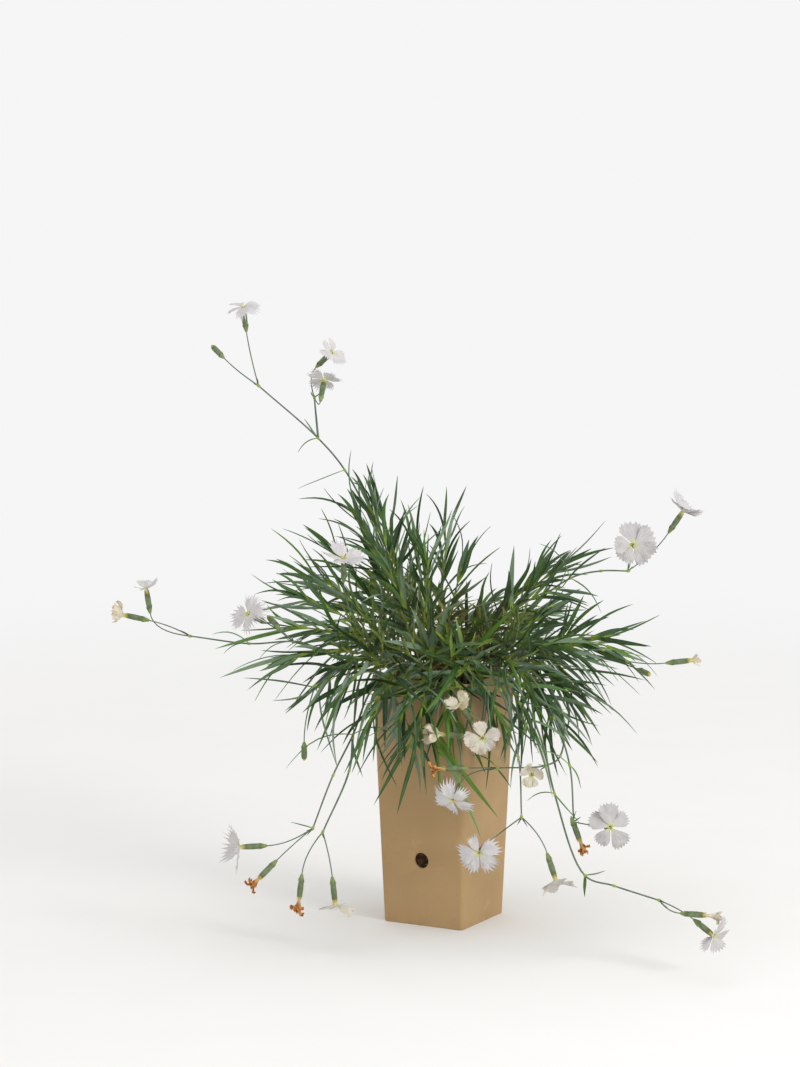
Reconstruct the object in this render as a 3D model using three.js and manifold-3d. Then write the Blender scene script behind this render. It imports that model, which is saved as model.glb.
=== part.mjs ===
// A fringed white pink (dianthus) growing in a tall square pot.
// Millimetres, Z up. The pot stands on Z = 0 with its sides facing X and Y.
// The plant is laid out in axes of its own, [across, away, up], turned in the pot by PLANT_TURN.

import * as THREE from "three";
import { mergeVertices } from "three/addons/utils/BufferGeometryUtils.js";
import Module from "manifold-3d";

const wasm = await Module();
wasm.setup();

// Pot
const POT_HEIGHT = 205;
const POT_TOP_WIDTH = 90;
const POT_BOTTOM_WIDTH = 73;
const POT_WALL = 1.8;
const POT_FLOOR = 2.5;
const POT_TOP_CORNER = 7;
const POT_BOTTOM_CORNER = 2.6;
const POT_CORNER_STEPS = 3;
const POT_FOOT_BEVEL = 0.5;
const SIDE_HOLE_RADIUS = 6.5;
const SIDE_HOLE_HEIGHT = 55;
const SIDE_HOLE_STEPS = 12;
const DRAIN_HOLE_RADIUS = 4;
const DRAIN_HOLE_OFFSET = 19;
const DRAIN_HOLE_STEPS = 6;

// Corners nearer than this are one
const WELD = 1e-3;

// Soil, and the holes that the plant's stems stand in
const GAP = 0.3;
const SOIL_DROP = 10;
const SOIL_TOP = POT_HEIGHT - SOIL_DROP;
const ROOT_DEPTH = 10;
const ROOT_CLEARANCE = 0.4;
const ROOT_SIDES = 5;
const ROOT_RISE = 4;
const TUFT_ROOT_RADIUS = 2.3;
const SPRAY_ROOT_RADIUS = 1.5;
const PLANT_TURN = THREE.MathUtils.degToRad(29);

// Leafy shoots
const SHOOT_RADIUS = 1.15;
const SHOOT_BARE_STEPS = 2;
const LOW_SHOOT_BARE_STEPS = 4;
const SHOOT_BUD_LENGTH = 9;
const SHOOT_ARCH = 0.22;
const LOW_SHOOT_CREST = POT_HEIGHT + 40;
const LOW_SHOOT_APEX = POT_HEIGHT + 10;
const PAIRS_PER_SHOOT = 5;
const PAIR_SPACING = 10.5;
const SHEATH_LENGTH = 2.6;
const LEAF_LENGTH = 60;
const LEAF_WIDTH = 3.5;
const LEAF_THICKNESS = 0.8;
const LEAF_WIDEST = 0.4;
const LEAF_TRIES = 12;
const ROUTE_TRIES = 60;
const CLEARANCE = 0.45;

// Flower stems and flowers
const STEM_RADIUS = 0.8;
const STEM_SIDES = 3;
const STEM_RISE = POT_HEIGHT + 4;
const JOINT_RADIUS = 1.7;
const PEDICEL_RADIUS = 0.65;
const CALYX_LENGTH = 21;
const CALYX_RADIUS = 2.4;
const CALYX_SIDES = 4;
const PETALS = 5;
const COLLAR_RADIUS = 1.7;
const BUD_LENGTH = 15;
const STEM_LEAF_WIDTH = 3;

// Looks
const POT_TAN = "#b3946a";
const SOIL_BROWN = "#3a2a1e";
const LEAF_GREENS = ["#3f5f49", "#4a6b4c", "#38574a"];
const STEM_GREEN = "#6f8a63";
const PETAL_COLOURS = { open: "#f1eff0", aged: "#e9e2cb", withered: "#b98a55" };

// Flower stems. Each starts in the soil at "root"; a stem is a list of points that it runs
// through, the first one from the root. A leaf is [where it grows, where its tip is].
// A head has the fork that it grows from, the mouth of its calyx and the way that it faces.
const FLOWER_STEMS = [
  {
    name: "flower_stem_tall_left",
    root: [-22, 29],
    stems: [
      [[-34, 34, 262], [-60, 40, 326], [-82, 40, 369], [-104, 35, 396], [-153, 30, 440]],
      [[-104, 35, 396], [-107, 32, 430]],
    ],
    leaves: [
      [[-104, 35, 396], [-121, 30, 384]],
      [[-104, 35, 396], [-116, 40, 412]],
      [[-82, 40, 369], [-122, 52, 352]],
    ],
    heads: [
      {
        name: "bloom_01", kind: "open", radius: 15,
        fork: [-153, 30, 440], mouth: [-165, 20, 504], facing: [-1, -3, 8],
      },
      {
        name: "bud_02", kind: "bud",
        fork: [-153, 30, 440], mouth: [-192, 36, 473], facing: [-5, 1, 5],
      },
      {
        name: "bloom_03", kind: "open", radius: 14,
        fork: [-107, 32, 430], mouth: [-93, 34, 467], facing: [6, -5, 6],
      },
      {
        name: "bloom_04", kind: "open", radius: 14,
        fork: [-107, 32, 430], mouth: [-99, 30, 444], facing: [1, 5, 6],
      },
    ],
  },
  {
    name: "flower_stem_left_upright",
    root: [-25, -8],
    stems: [[[-56, -22, 232], [-76, -30, 258]]],
    leaves: [],
    heads: [
      {
        name: "bloom_05", kind: "open", radius: 17,
        fork: [-76, -30, 258], mouth: [-82, -37, 304], facing: [0, -3, 8],
      },
    ],
  },
  {
    name: "flower_stem_left_front",
    root: [-34, -14],
    stems: [[[-82, -44, 226], [-122, -60, 240]]],
    leaves: [[[-122, -60, 240], [-150, -66, 226]]],
    heads: [
      {
        name: "bloom_06", kind: "open", radius: 17,
        fork: [-122, -60, 240], mouth: [-157, -78, 265], facing: [-6, -6, 4],
      },
      {
        name: "bud_06", kind: "bud",
        fork: [-122, -60, 240], mouth: [-143, -64, 262], facing: [-4, 1, 4],
      },
    ],
  },
  {
    name: "flower_stem_far_left",
    root: [-35, 5],
    stems: [[[-78, -4, 214], [-118, -10, 232], [-160, -10, 231], [-208, -15, 238]]],
    leaves: [
      [[-160, -10, 231], [-190, -20, 240]],
      [[-160, -10, 231], [-182, 4, 220]],
    ],
    heads: [
      {
        name: "bloom_07", kind: "open", radius: 12,
        fork: [-208, -15, 238], mouth: [-243, -20, 277], facing: [-1, -2, 8],
      },
      {
        name: "bloom_08", kind: "aged", radius: 9,
        fork: [-208, -15, 238], mouth: [-263, 2, 253], facing: [-9, 0, 2],
      },
    ],
  },
  {
    name: "flower_stem_hanging_left",
    root: [-14, -33],
    stems: [
      [[-38, -60, 222], [-60, -74, 202], [-74, -80, 168], [-90, -86, 136], [-106, -95, 95]],
      [[-74, -80, 168], [-77, -93, 141], [-98, -101, 93]],
    ],
    leaves: [
      [[-74, -80, 168], [-128, -100, 143]],
      [[-74, -80, 168], [-38, -92, 170]],
      [[-74, -80, 168], [-66, -72, 131]],
      [[-106, -95, 95], [-124, -96, 100]],
    ],
    heads: [
      {
        name: "bloom_12", kind: "open", radius: 18,
        fork: [-106, -95, 95], mouth: [-163, -101, 81], facing: [-9, -2, 0],
      },
      {
        name: "bloom_13", kind: "withered", radius: 5,
        fork: [-106, -95, 95], mouth: [-149, -110, 57], facing: [-6, -1, -6],
      },
      {
        name: "bloom_14", kind: "withered", radius: 6,
        fork: [-98, -101, 93], mouth: [-117, -101, 38], facing: [-1, 0, -9],
      },
      {
        name: "bloom_15", kind: "open", radius: 14,
        fork: [-98, -101, 93], mouth: [-88, -116, 39], facing: [1, -1, -9],
      },
    ],
  },
  {
    name: "flower_stem_bud_left",
    root: [-31, -24],
    stems: [[[-70, -62, 226], [-104, -82, 208]]],
    leaves: [],
    heads: [
      {
        name: "bud_16", kind: "bud",
        fork: [-104, -82, 208], mouth: [-113, -86, 148], facing: [0, 0, -9],
      },
    ],
  },
  {
    name: "flower_stem_right_high",
    root: [25, 5],
    stems: [[[58, -2, 248], [103, -10, 285], [128, -10, 291], [150, -10, 291]]],
    leaves: [
      [[103, -10, 285], [77, -15, 314]],
      [[103, -10, 285], [128, -20, 257]],
    ],
    heads: [
      {
        name: "bloom_09", kind: "open", radius: 17,
        fork: [150, -10, 291], mouth: [152, -32, 315], facing: [0, -9, 2],
      },
      {
        name: "bloom_10", kind: "open", radius: 17,
        fork: [150, -10, 291], mouth: [195, 0, 338], facing: [5, -2, 8],
      },
    ],
  },
  {
    name: "flower_stem_right",
    root: [35, -6],
    stems: [[[84, -12, 218], [130, -12, 226], [150, -15, 217]]],
    leaves: [[[130, -12, 226], [176, -4, 202]]],
    heads: [
      {
        name: "bloom_11", kind: "aged", radius: 7,
        fork: [150, -15, 217], mouth: [202, -16, 218], facing: [9, 0, 1],
      },
      {
        name: "bud_11", kind: "bud",
        fork: [150, -15, 217], mouth: [168, -30, 208], facing: [3, -3, -1],
      },
    ],
  },
  {
    name: "flower_stem_front",
    root: [10, -34],
    stems: [[[24, -52, 224], [44, -80, 204], [58, -92, 152], [60, -110, 107]]],
    leaves: [],
    heads: [
      {
        name: "bloom_22", kind: "open", radius: 16.5,
        fork: [60, -110, 107], mouth: [26, -126, 82], facing: [-3, -9, -1],
      },
      {
        name: "bloom_24", kind: "aged", radius: 12,
        fork: [60, -110, 107], mouth: [86, -130, 62], facing: [2, -2, -6],
      },
    ],
  },
  {
    name: "flower_stem_front_right",
    root: [26, -27],
    stems: [[[62, -58, 218], [87, -72, 180], [99, -90, 145], [102, -100, 101]]],
    leaves: [
      [[99, -90, 145], [72, -84, 154]],
      [[99, -90, 145], [108, -92, 126]],
    ],
    heads: [
      {
        name: "bloom_25", kind: "open", radius: 18,
        fork: [102, -100, 101], mouth: [130, -116, 100], facing: [1, -9, 2],
      },
      {
        name: "bloom_26", kind: "withered", radius: 5,
        fork: [102, -100, 101], mouth: [107, -107, 86], facing: [3, -2, -8],
      },
    ],
  },
  {
    name: "flower_stem_trailing_right",
    root: [18, -37],
    stems: [
      [[50, -66, 214], [76, -84, 166], [86, -110, 126], [108, -150, 69], [130, -165, 64], [164, -180, 56]],
    ],
    leaves: [
      [[86, -110, 126], [64, -112, 120]],
      [[86, -110, 126], [106, -116, 103]],
      [[108, -150, 69], [108, -154, 52]],
      [[108, -150, 69], [124, -156, 74]],
    ],
    heads: [
      {
        name: "bloom_27", kind: "withered", radius: 5,
        fork: [164, -180, 56], mouth: [199, -200, 49], facing: [9, -3, 0],
      },
      {
        name: "bloom_28", kind: "open", radius: 15,
        fork: [164, -180, 56], mouth: [203, -206, 35], facing: [6, -6, -4],
      },
    ],
  },
  {
    name: "flower_stem_over_pot",
    root: [31, -20],
    stems: [
      [[68, -44, 214], [94, -64, 184], [92, -78, 150], [80, -86, 144], [41, -91, 143]],
    ],
    leaves: [
      [[41, -91, 143], [20, -86, 152]],
      [[41, -91, 143], [52, -96, 128]],
    ],
    heads: [
      {
        name: "bloom_23", kind: "aged", radius: 11,
        fork: [80, -86, 144], mouth: [68, -104, 140], facing: [0, -9, 0],
      },
      {
        name: "bloom_20", kind: "withered", radius: 5,
        fork: [41, -91, 143], mouth: [-3, -99, 144], facing: [-9, -1, 0],
      },
      {
        name: "bloom_21", kind: "open", radius: 17,
        fork: [41, -91, 143], mouth: [6, -110, 121], facing: [-3, -8, -5],
      },
    ],
  },
  {
    name: "flower_stem_rim",
    root: [0, -36],
    stems: [[[14, -54, 218], [32, -66, 204]]],
    leaves: [],
    heads: [
      {
        name: "bloom_17", kind: "aged", radius: 10,
        fork: [32, -66, 204], mouth: [12, -86, 192], facing: [-4, -3, 6],
      },
      {
        name: "bloom_18", kind: "aged", radius: 9,
        fork: [32, -66, 204], mouth: [-4, -90, 170], facing: [-9, -2, 1],
      },
      {
        name: "bloom_19", kind: "aged", radius: 16,
        fork: [32, -66, 204], mouth: [29, -96, 168], facing: [0, -9, 2],
      },
    ],
  },
];

// Tufts of leafy shoots: where each stands in the soil, and the tips of its shoots' stems.
const TUFTS = [
  { name: "leaves_left_high", root: [-17, 12], tips: [[-72, 20, 333], [-58, 0, 336], [-48, 32, 324]] },
  { name: "leaves_left_back", root: [-27, 20], tips: [[-88, 52, 295], [-104, 32, 276], [-60, 72, 298]] },
  { name: "leaves_middle_back", root: [-6, 9], tips: [[-22, 22, 300], [2, 44, 304], [16, 10, 296]] },
  { name: "leaves_middle_front", root: [-12, -2], tips: [[-14, -14, 294], [-42, -12, 284]] },
  { name: "leaves_centre", root: [5, 8], tips: [[33, 30, 254], [22, 62, 236]] },
  { name: "leaves_right_high", root: [18, 12], tips: [[72, 32, 278], [88, 12, 286], [98, -12, 276]] },
  { name: "leaves_right", root: [29, -3], tips: [[94, -22, 232], [137, 0, 234], [74, -2, 248]] },
  { name: "leaves_right_back", root: [25, 21], tips: [[118, 46, 220], [134, 26, 224], [88, 62, 250]] },
  { name: "leaves_right_low", root: [27, -13], tips: [[95, -24, 197], [98, -2, 206], [86, -44, 181]] },
  { name: "leaves_front_right", root: [14, -18], tips: [[68, -62, 206], [66, -80, 180]] },
  { name: "leaves_front", root: [4, -19], tips: [[24, -60, 204], [40, -70, 188], [4, -66, 184]] },
  { name: "leaves_front_left", root: [-7, -18], tips: [[-20, -82, 178], [-38, -90, 172], [-12, -58, 214]] },
  { name: "leaves_left", root: [-29, -1], tips: [[-110, -20, 268], [-90, 0, 276], [-80, -28, 242]] },
  { name: "leaves_left_front", root: [-24, -16], tips: [[-117, -50, 250], [-117, -62, 228]] },
  { name: "leaves_left_low", root: [-19, -25], tips: [[-100, -72, 204], [-80, -88, 208], [-58, -86, 186]] },
  { name: "leaves_back", root: [2, 23], tips: [[-22, 95, 250], [34, 100, 228], [5, 116, 210]] },
  { name: "leaves_back_right", root: [13, 25], tips: [[64, 92, 240], [74, 106, 214]] },
  { name: "leaves_back_left", root: [-14, 24], tips: [[-55, 100, 258], [-80, 94, 222]] },
];

const UP = new THREE.Vector3(0, 0, 1);
const place = (coordinates) => new THREE.Vector3(...coordinates);

// The same run of draws every time: a number from 0 to 1 at each call
function seededDraws(seed) {
  let state = seed;
  return () => {
    state = (state * 16807) % 2147483647;
    return state / 2147483647;
  };
}

// ---------------------------------------------------------------- solids

function skin(corners, triangles) {
  const geometry = new THREE.BufferGeometry();
  const positions = corners.flatMap((corner) => corner.toArray());
  geometry.setAttribute("position", new THREE.Float32BufferAttribute(positions, 3));
  geometry.setIndex(triangles);
  return geometry;
}

// A closed body through rings of equally many corners, with flat ends
function loft(rings) {
  const sides = rings[0].length;
  const triangles = [];
  for (let ring = 0; ring < rings.length - 1; ring += 1) {
    for (let side = 0; side < sides; side += 1) {
      const here = ring * sides + side;
      const next = ring * sides + (side + 1) % sides;
      triangles.push(here, next, next + sides, here, next + sides, here + sides);
    }
  }
  const last = (rings.length - 1) * sides;
  for (let side = 1; side < sides - 1; side += 1) {
    triangles.push(0, side + 1, side);
    triangles.push(last, last + side, last + side + 1);
  }
  return skin(rings.flat(), triangles);
}

function toSolid(geometry) {
  const bare = geometry.clone();
  bare.deleteAttribute("normal");
  bare.deleteAttribute("uv");
  const merged = mergeVertices(bare, WELD);
  const vertProperties = new Float32Array(merged.attributes.position.array);
  const triVerts = new Uint32Array(merged.index.array);
  return new wasm.Manifold(new wasm.Mesh({ numProp: 3, vertProperties, triVerts }));
}

function toGeometry(solid) {
  const mesh = solid.getMesh();
  const geometry = new THREE.BufferGeometry();
  geometry.setAttribute("position", new THREE.BufferAttribute(mesh.vertProperties, 3));
  geometry.setIndex(new THREE.BufferAttribute(mesh.triVerts, 1));
  geometry.computeVertexNormals();
  return geometry;
}

// Joined into one body, with any hollow that the joining seals left out
function fuse(geometries) {
  const joined = geometries.map(toSolid).reduce((sum, solid) => sum.add(solid));
  const shells = toSolid(toGeometry(joined)).decompose();
  return shells.reduce((largest, shell) => (shell.volume() > largest.volume() ? shell : largest));
}

function named(name, geometry, color, roughness) {
  const material = new THREE.MeshStandardMaterial({ color, roughness, metalness: 0 });
  const mesh = new THREE.Mesh(geometry, material);
  mesh.name = name;
  return mesh;
}

// ---------------------------------------------------------------- paths

// The direction that lies "angle" from one direction towards another that is square to it
function between(from, towards, angle) {
  return from.clone().multiplyScalar(Math.cos(angle)).addScaledVector(towards, Math.sin(angle));
}

// Directions at each point of a path: along it, and two square to it that don't twist
function framesAlong(points) {
  let side = new THREE.Vector3(1, 0, 0);
  return points.map((point, index) => {
    const before = points[Math.max(index - 1, 0)];
    const after = points[Math.min(index + 1, points.length - 1)];
    const along = after.clone().sub(before).normalize();
    if (index === 0 && Math.abs(along.x) > 0.9) {
      side = new THREE.Vector3(0, 1, 0);
    }
    side = side.clone().addScaledVector(along, -side.dot(along)).normalize();
    return { point, along, side, across: along.clone().cross(side) };
  });
}

function ringAround(frame, radius, sides, turn = 0) {
  return Array.from({ length: sides }, (_, index) => {
    const angle = turn + (2 * Math.PI * index) / sides;
    return frame.point.clone()
      .addScaledVector(frame.side, radius * Math.cos(angle))
      .addScaledVector(frame.across, radius * Math.sin(angle));
  });
}

function rod(points, radii, sides) {
  const frames = framesAlong(points);
  return loft(frames.map((frame, index) => ringAround(frame, radii[index], sides)));
}

// A stub that stands in its hole in the soil
function rootStub([across, away], radius) {
  const bottom = place([across, away, SOIL_TOP - ROOT_DEPTH + GAP]);
  const top = place([across, away, SOIL_TOP + ROOT_RISE]);
  return rod([bottom, top], [radius, radius], ROOT_SIDES);
}

// ---------------------------------------------------------------- keeping clear

// Everything that has been placed, as thick lines that later leaves and shoots keep clear of
const thickLines = [];

function lineGap(a, b, c, d) {
  const first = b.clone().sub(a);
  const second = d.clone().sub(c);
  const apart = a.clone().sub(c);
  const firstSquared = first.lengthSq();
  const secondSquared = second.lengthSq();
  const dot = first.dot(second);
  const firstApart = first.dot(apart);
  const secondApart = second.dot(apart);
  const spread = firstSquared * secondSquared - dot * dot;
  const clampShare = (share) => Math.min(Math.max(share, 0), 1);
  let s = spread > 1e-9 ? clampShare((dot * secondApart - firstApart * secondSquared) / spread) : 0;
  const t = clampShare((dot * s + secondApart) / secondSquared);
  s = clampShare((dot * t - firstApart) / firstSquared);
  return apart.addScaledVector(first, s).addScaledVector(second, -t).length();
}

function remember(points, radius, owner) {
  for (let index = 0; index < points.length - 1; index += 1) {
    thickLines.push({ from: points[index], to: points[index + 1], radius, owner });
  }
}

function potHalfWidth(height) {
  return THREE.MathUtils.lerp(POT_BOTTOM_WIDTH / 2, POT_TOP_WIDTH / 2, height / POT_HEIGHT);
}

// Whether a point lies in the pot's wall, in the soil, or too near to either
function blockedByPot(point, margin) {
  if (point.z > POT_HEIGHT + margin) {
    return false;
  }
  const turned = point.clone().applyAxisAngle(UP, PLANT_TURN);
  const reach = Math.max(Math.abs(turned.x), Math.abs(turned.y));
  const outer = potHalfWidth(point.z);
  const overSoil = point.z > SOIL_TOP + margin && reach < outer - POT_WALL - margin;
  return reach < outer + margin && !overSoil;
}

// Whether a line keeps clear of the pot and of what has been placed; ownGap is for the lines
// whose owner's name starts with "owner"
function isClear(points, radius, owner, ownGap) {
  for (let index = 0; index < points.length - 1; index += 1) {
    const from = points[index];
    const to = points[index + 1];
    const samples = Math.ceil(from.distanceTo(to) / 4);
    for (let sample = 1; sample <= samples; sample += 1) {
      const point = from.clone().lerp(to, sample / samples);
      if (point.z < radius + CLEARANCE || blockedByPot(point, radius + CLEARANCE)) {
        return false;
      }
    }
    for (const line of thickLines) {
      const needed = line.owner.startsWith(owner) ? ownGap : radius + line.radius + CLEARANCE;
      if (needed > 0 && lineGap(from, to, line.from, line.to) < needed) {
        return false;
      }
    }
  }
  return true;
}

// ---------------------------------------------------------------- pot and soil

// The pot's outline at a height, moved in from its outside; its corners are sharper at the foot
function potOutline(inset, height) {
  const cornerRadius = THREE.MathUtils.lerp(POT_BOTTOM_CORNER, POT_TOP_CORNER, height / POT_HEIGHT);
  return roundedSquare(potHalfWidth(height) - inset, cornerRadius - inset, height);
}

function roundedSquare(halfWidth, cornerRadius, height) {
  const arcs = [0, 1, 2, 3].map((corner) => {
    const start = (corner * Math.PI) / 2;
    const centre = new THREE.Vector2(1, 1).multiplyScalar(halfWidth - cornerRadius)
      .rotateAround(new THREE.Vector2(), start);
    const end = start + Math.PI / 2;
    const arc = new THREE.EllipseCurve(centre.x, centre.y, cornerRadius, cornerRadius, start, end);
    return arc.getPoints(POT_CORNER_STEPS);
  });
  return arcs.flat().map((point) => new THREE.Vector3(point.x, point.y, height));
}

function potSolid() {
  const shell = toSolid(loft([
    potOutline(POT_FOOT_BEVEL, 0),
    potOutline(0, POT_FOOT_BEVEL),
    potOutline(0, POT_HEIGHT),
    potOutline(POT_WALL, POT_HEIGHT),
    potOutline(POT_WALL, POT_FLOOR),
  ]));
  const sideHole = new THREE.CylinderGeometry(
    SIDE_HOLE_RADIUS, SIDE_HOLE_RADIUS, POT_TOP_WIDTH * 1.5, SIDE_HOLE_STEPS,
  );
  const alongY = sideHole.clone().translate(0, 0, SIDE_HOLE_HEIGHT);
  const alongX = sideHole.clone().rotateZ(Math.PI / 2).translate(0, 0, SIDE_HOLE_HEIGHT);
  const drainHole = new THREE.CylinderGeometry(
    DRAIN_HOLE_RADIUS, DRAIN_HOLE_RADIUS, POT_FLOOR * 3, DRAIN_HOLE_STEPS,
  ).rotateX(Math.PI / 2);
  const drains = [[-1, -1], [-1, 1], [1, -1], [1, 1]].map(([x, y]) => (
    drainHole.clone().translate(x * DRAIN_HOLE_OFFSET, y * DRAIN_HOLE_OFFSET, 0)
  ));
  return [alongX, alongY, ...drains].map(toSolid).reduce((pot, hole) => pot.subtract(hole), shell);
}

function soilSolid(roots) {
  const inset = POT_WALL + GAP;
  const block = toSolid(loft([potOutline(inset, POT_FLOOR + GAP), potOutline(inset, SOIL_TOP)]));
  const holes = roots.map(({ root: [across, away], radius }) => {
    const bottomPoint = place([across, away, SOIL_TOP - ROOT_DEPTH]);
    const topPoint = place([across, away, SOIL_TOP + ROOT_RISE]);
    const holeRadius = radius + ROOT_CLEARANCE;
    return toSolid(rod([bottomPoint, topPoint], [holeRadius, holeRadius], ROOT_SIDES).rotateZ(PLANT_TURN));
  });
  return holes.reduce((soil, hole) => soil.subtract(hole), block);
}

// ---------------------------------------------------------------- flower stems and flowers

// A flat narrow leaf with a keel below, from its foot to its tip through one bend
function blade(foot, tip, width, arch) {
  const along = tip.clone().sub(foot);
  const bend = foot.clone().addScaledVector(along, LEAF_WIDEST).addScaledVector(UP, arch * along.length());
  const sideways = along.clone().cross(UP).normalize();
  const above = sideways.clone().cross(along).normalize();
  const section = (centre, halfWidth, thickness) => [
    centre.clone().addScaledVector(above, -thickness),
    centre.clone().addScaledVector(sideways, -halfWidth),
    centre.clone().addScaledVector(sideways, halfWidth),
  ];
  const corners = [
    ...section(foot, width * 0.25, LEAF_THICKNESS),
    ...section(bend, width / 2, LEAF_THICKNESS),
    tip,
  ];
  const triangles = [0, 2, 1];
  for (let side = 0; side < 3; side += 1) {
    const next = (side + 1) % 3;
    triangles.push(side, next, next + 3, side, next + 3, side + 3, side + 3, next + 3, 6);
  }
  return { geometry: skin(corners, triangles), line: [foot, bend, tip] };
}

// The pedicel from its fork, and the calyx that it carries: a tube, closed to a point on a bud
function pedicelAndCalyx(head) {
  const axis = place(head.facing).normalize();
  const mouth = place(head.mouth);
  const fork = place(head.fork);
  const isBud = head.kind === "bud";
  const length = isBud ? BUD_LENGTH : CALYX_LENGTH;
  const base = mouth.clone().addScaledVector(axis, -length);
  const bend = base.clone().addScaledVector(axis, -0.45 * base.distanceTo(fork));
  const curve = new THREE.QuadraticBezierCurve3(fork, bend, base);
  const path = [fork, curve.getPoint(0.5), base];
  const stations = [1, 0.55 * length, length].map((offset) => base.clone().addScaledVector(axis, offset));
  const frames = framesAlong([...path, ...stations]);
  const radii = [PEDICEL_RADIUS, PEDICEL_RADIUS, PEDICEL_RADIUS, CALYX_RADIUS * 0.8, CALYX_RADIUS];
  radii.push(isBud ? CALYX_RADIUS * 0.15 : CALYX_RADIUS * 0.95);
  const rings = frames.map((frame, index) => ringAround(frame, radii[index], CALYX_SIDES));
  return { geometry: loft(rings), frame: frames[frames.length - 1], path, calyx: [base, mouth] };
}

function flowerStem({ name, root, stems, leaves, heads }) {
  const parts = [rootStub(root, SPRAY_ROOT_RADIUS)];
  stems.forEach((points, index) => {
    const start = index === 0 ? [place([...root, SOIL_TOP + 1]), place([...root, STEM_RISE])] : [];
    const curve = new THREE.CatmullRomCurve3([...start, ...points.map(place)], false, "centripetal");
    const path = curve.getPoints(Math.ceil((curve.points.length - 1) * 1.25));
    parts.push(rod(path, path.map(() => STEM_RADIUS), STEM_SIDES));
    remember(path, STEM_RADIUS, name);
  });
  for (const [foot, tip] of leaves) {
    const leaf = blade(place(foot), place(tip), STEM_LEAF_WIDTH, 0.07);
    parts.push(leaf.geometry);
    remember(leaf.line, STEM_LEAF_WIDTH / 2, name);
  }
  const blooms = [];
  for (const head of heads) {
    const { geometry, frame, path, calyx } = pedicelAndCalyx(head);
    parts.push(geometry);
    remember(path, PEDICEL_RADIUS, name);
    remember(calyx, CALYX_RADIUS + 0.2, name);
    if (head.kind !== "bud") {
      blooms.push(bloom(head, frame));
    }
  }
  const joints = new Set([...heads.map(({ fork }) => fork.join()), ...leaves.map(([foot]) => foot.join())]);
  for (const joint of joints) {
    const knot = new THREE.OctahedronGeometry(JOINT_RADIUS);
    parts.push(knot.translate(...joint.split(",").map(Number)));
  }
  return [named(name, toGeometry(fuse(parts)), STEM_GREEN, 0.6), ...blooms];
}

// Radii along one petal's fringed edge, as shares of the bloom's radius, from notch to notch
const FRINGE = [0.46, 0.88, 0.78, 0.99, 0.86, 1, 0.85, 0.99, 0.79, 0.9];
const AGED_FRINGE = [0.5, 0.92, 0.84, 1, 0.86, 0.94];

// Five fringed petals spread flat on a narrow collar over the calyx's mouth. The upper and
// lower faces share the fringe and are split into triangles alike.
function openBloom(radius, fringe, lift, wave, draw) {
  const edge = [];
  const ring = [];
  for (let petal = 0; petal < PETALS; petal += 1) {
    const tilt = (draw() - 0.5) * wave;
    fringe.forEach((share, index) => {
      const angle = ((petal + index / fringe.length) * 2 * Math.PI) / PETALS;
      const reach = radius * share * (0.94 + 0.12 * draw());
      const ripple = (index % 2 ? 1 : -1) * wave * 0.12 * draw();
      const slope = tilt * (index / fringe.length - 0.5);
      edge.push([reach, angle, 1.6 + lift * radius * share * share + (ripple + slope) * radius * share]);
    });
    const notch = (petal * 2 * Math.PI) / PETALS;
    const middle = notch + Math.PI / PETALS;
    ring.push([radius * 0.3, notch, 1.2 + lift * radius * 0.06]);
    ring.push([radius * 0.48, middle, 1.7 + lift * radius * 0.2]);
  }
  const collarAngles = Array.from({ length: PETALS }, (_, side) => (2 * Math.PI * side) / PETALS);
  const local = [
    ...edge,
    ...ring.map(([reach, angle, height]) => [reach, angle, height + 0.45]),
    ...ring.map(([reach, angle, height]) => [reach, angle, height - 0.45]),
    ...collarAngles.map((angle) => [COLLAR_RADIUS, angle, GAP]),
    [0, 0, 1.2],
  ];
  const upper = edge.length;
  const lower = upper + ring.length;
  const collar = lower + ring.length;
  const throat = collar + PETALS;
  const triangles = [];
  const bothFaces = (outer1, outer2, inner1, inner2 = null) => {
    if (inner2 === null) {
      triangles.push(upper + inner1, outer1, outer2, lower + inner1, outer2, outer1);
    } else {
      triangles.push(upper + inner1, outer1, upper + inner2, lower + inner1, lower + inner2, outer1);
    }
  };
  const points = fringe.length;
  for (let petal = 0; petal < PETALS; petal += 1) {
    const start = petal * points;
    const outer = (index) => (start + index) % edge.length;
    const notch = petal * 2;
    const middle = notch + 1;
    const nextNotch = (notch + 2) % ring.length;
    bothFaces(outer(0), outer(1), notch);
    bothFaces(outer(1), outer(2), notch);
    bothFaces(outer(2), null, notch, middle);
    for (let index = 2; index < points - 2; index += 1) {
      bothFaces(outer(index), outer(index + 1), middle);
    }
    bothFaces(outer(points - 2), null, middle, nextNotch);
    bothFaces(outer(points - 2), outer(points - 1), nextNotch);
    bothFaces(outer(points - 1), outer(points), nextNotch);
    const nextSide = (petal + 1) % PETALS;
    triangles.push(throat, upper + notch, upper + middle, throat, upper + middle, upper + nextNotch);
    triangles.push(collar + petal, lower + middle, lower + notch);
    triangles.push(collar + petal, collar + nextSide, lower + middle);
    triangles.push(collar + nextSide, lower + nextNotch, lower + middle);
  }
  for (let side = 1; side < PETALS - 1; side += 1) {
    triangles.push(collar, collar + side + 1, collar + side);
  }
  return { local, triangles };
}

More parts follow.
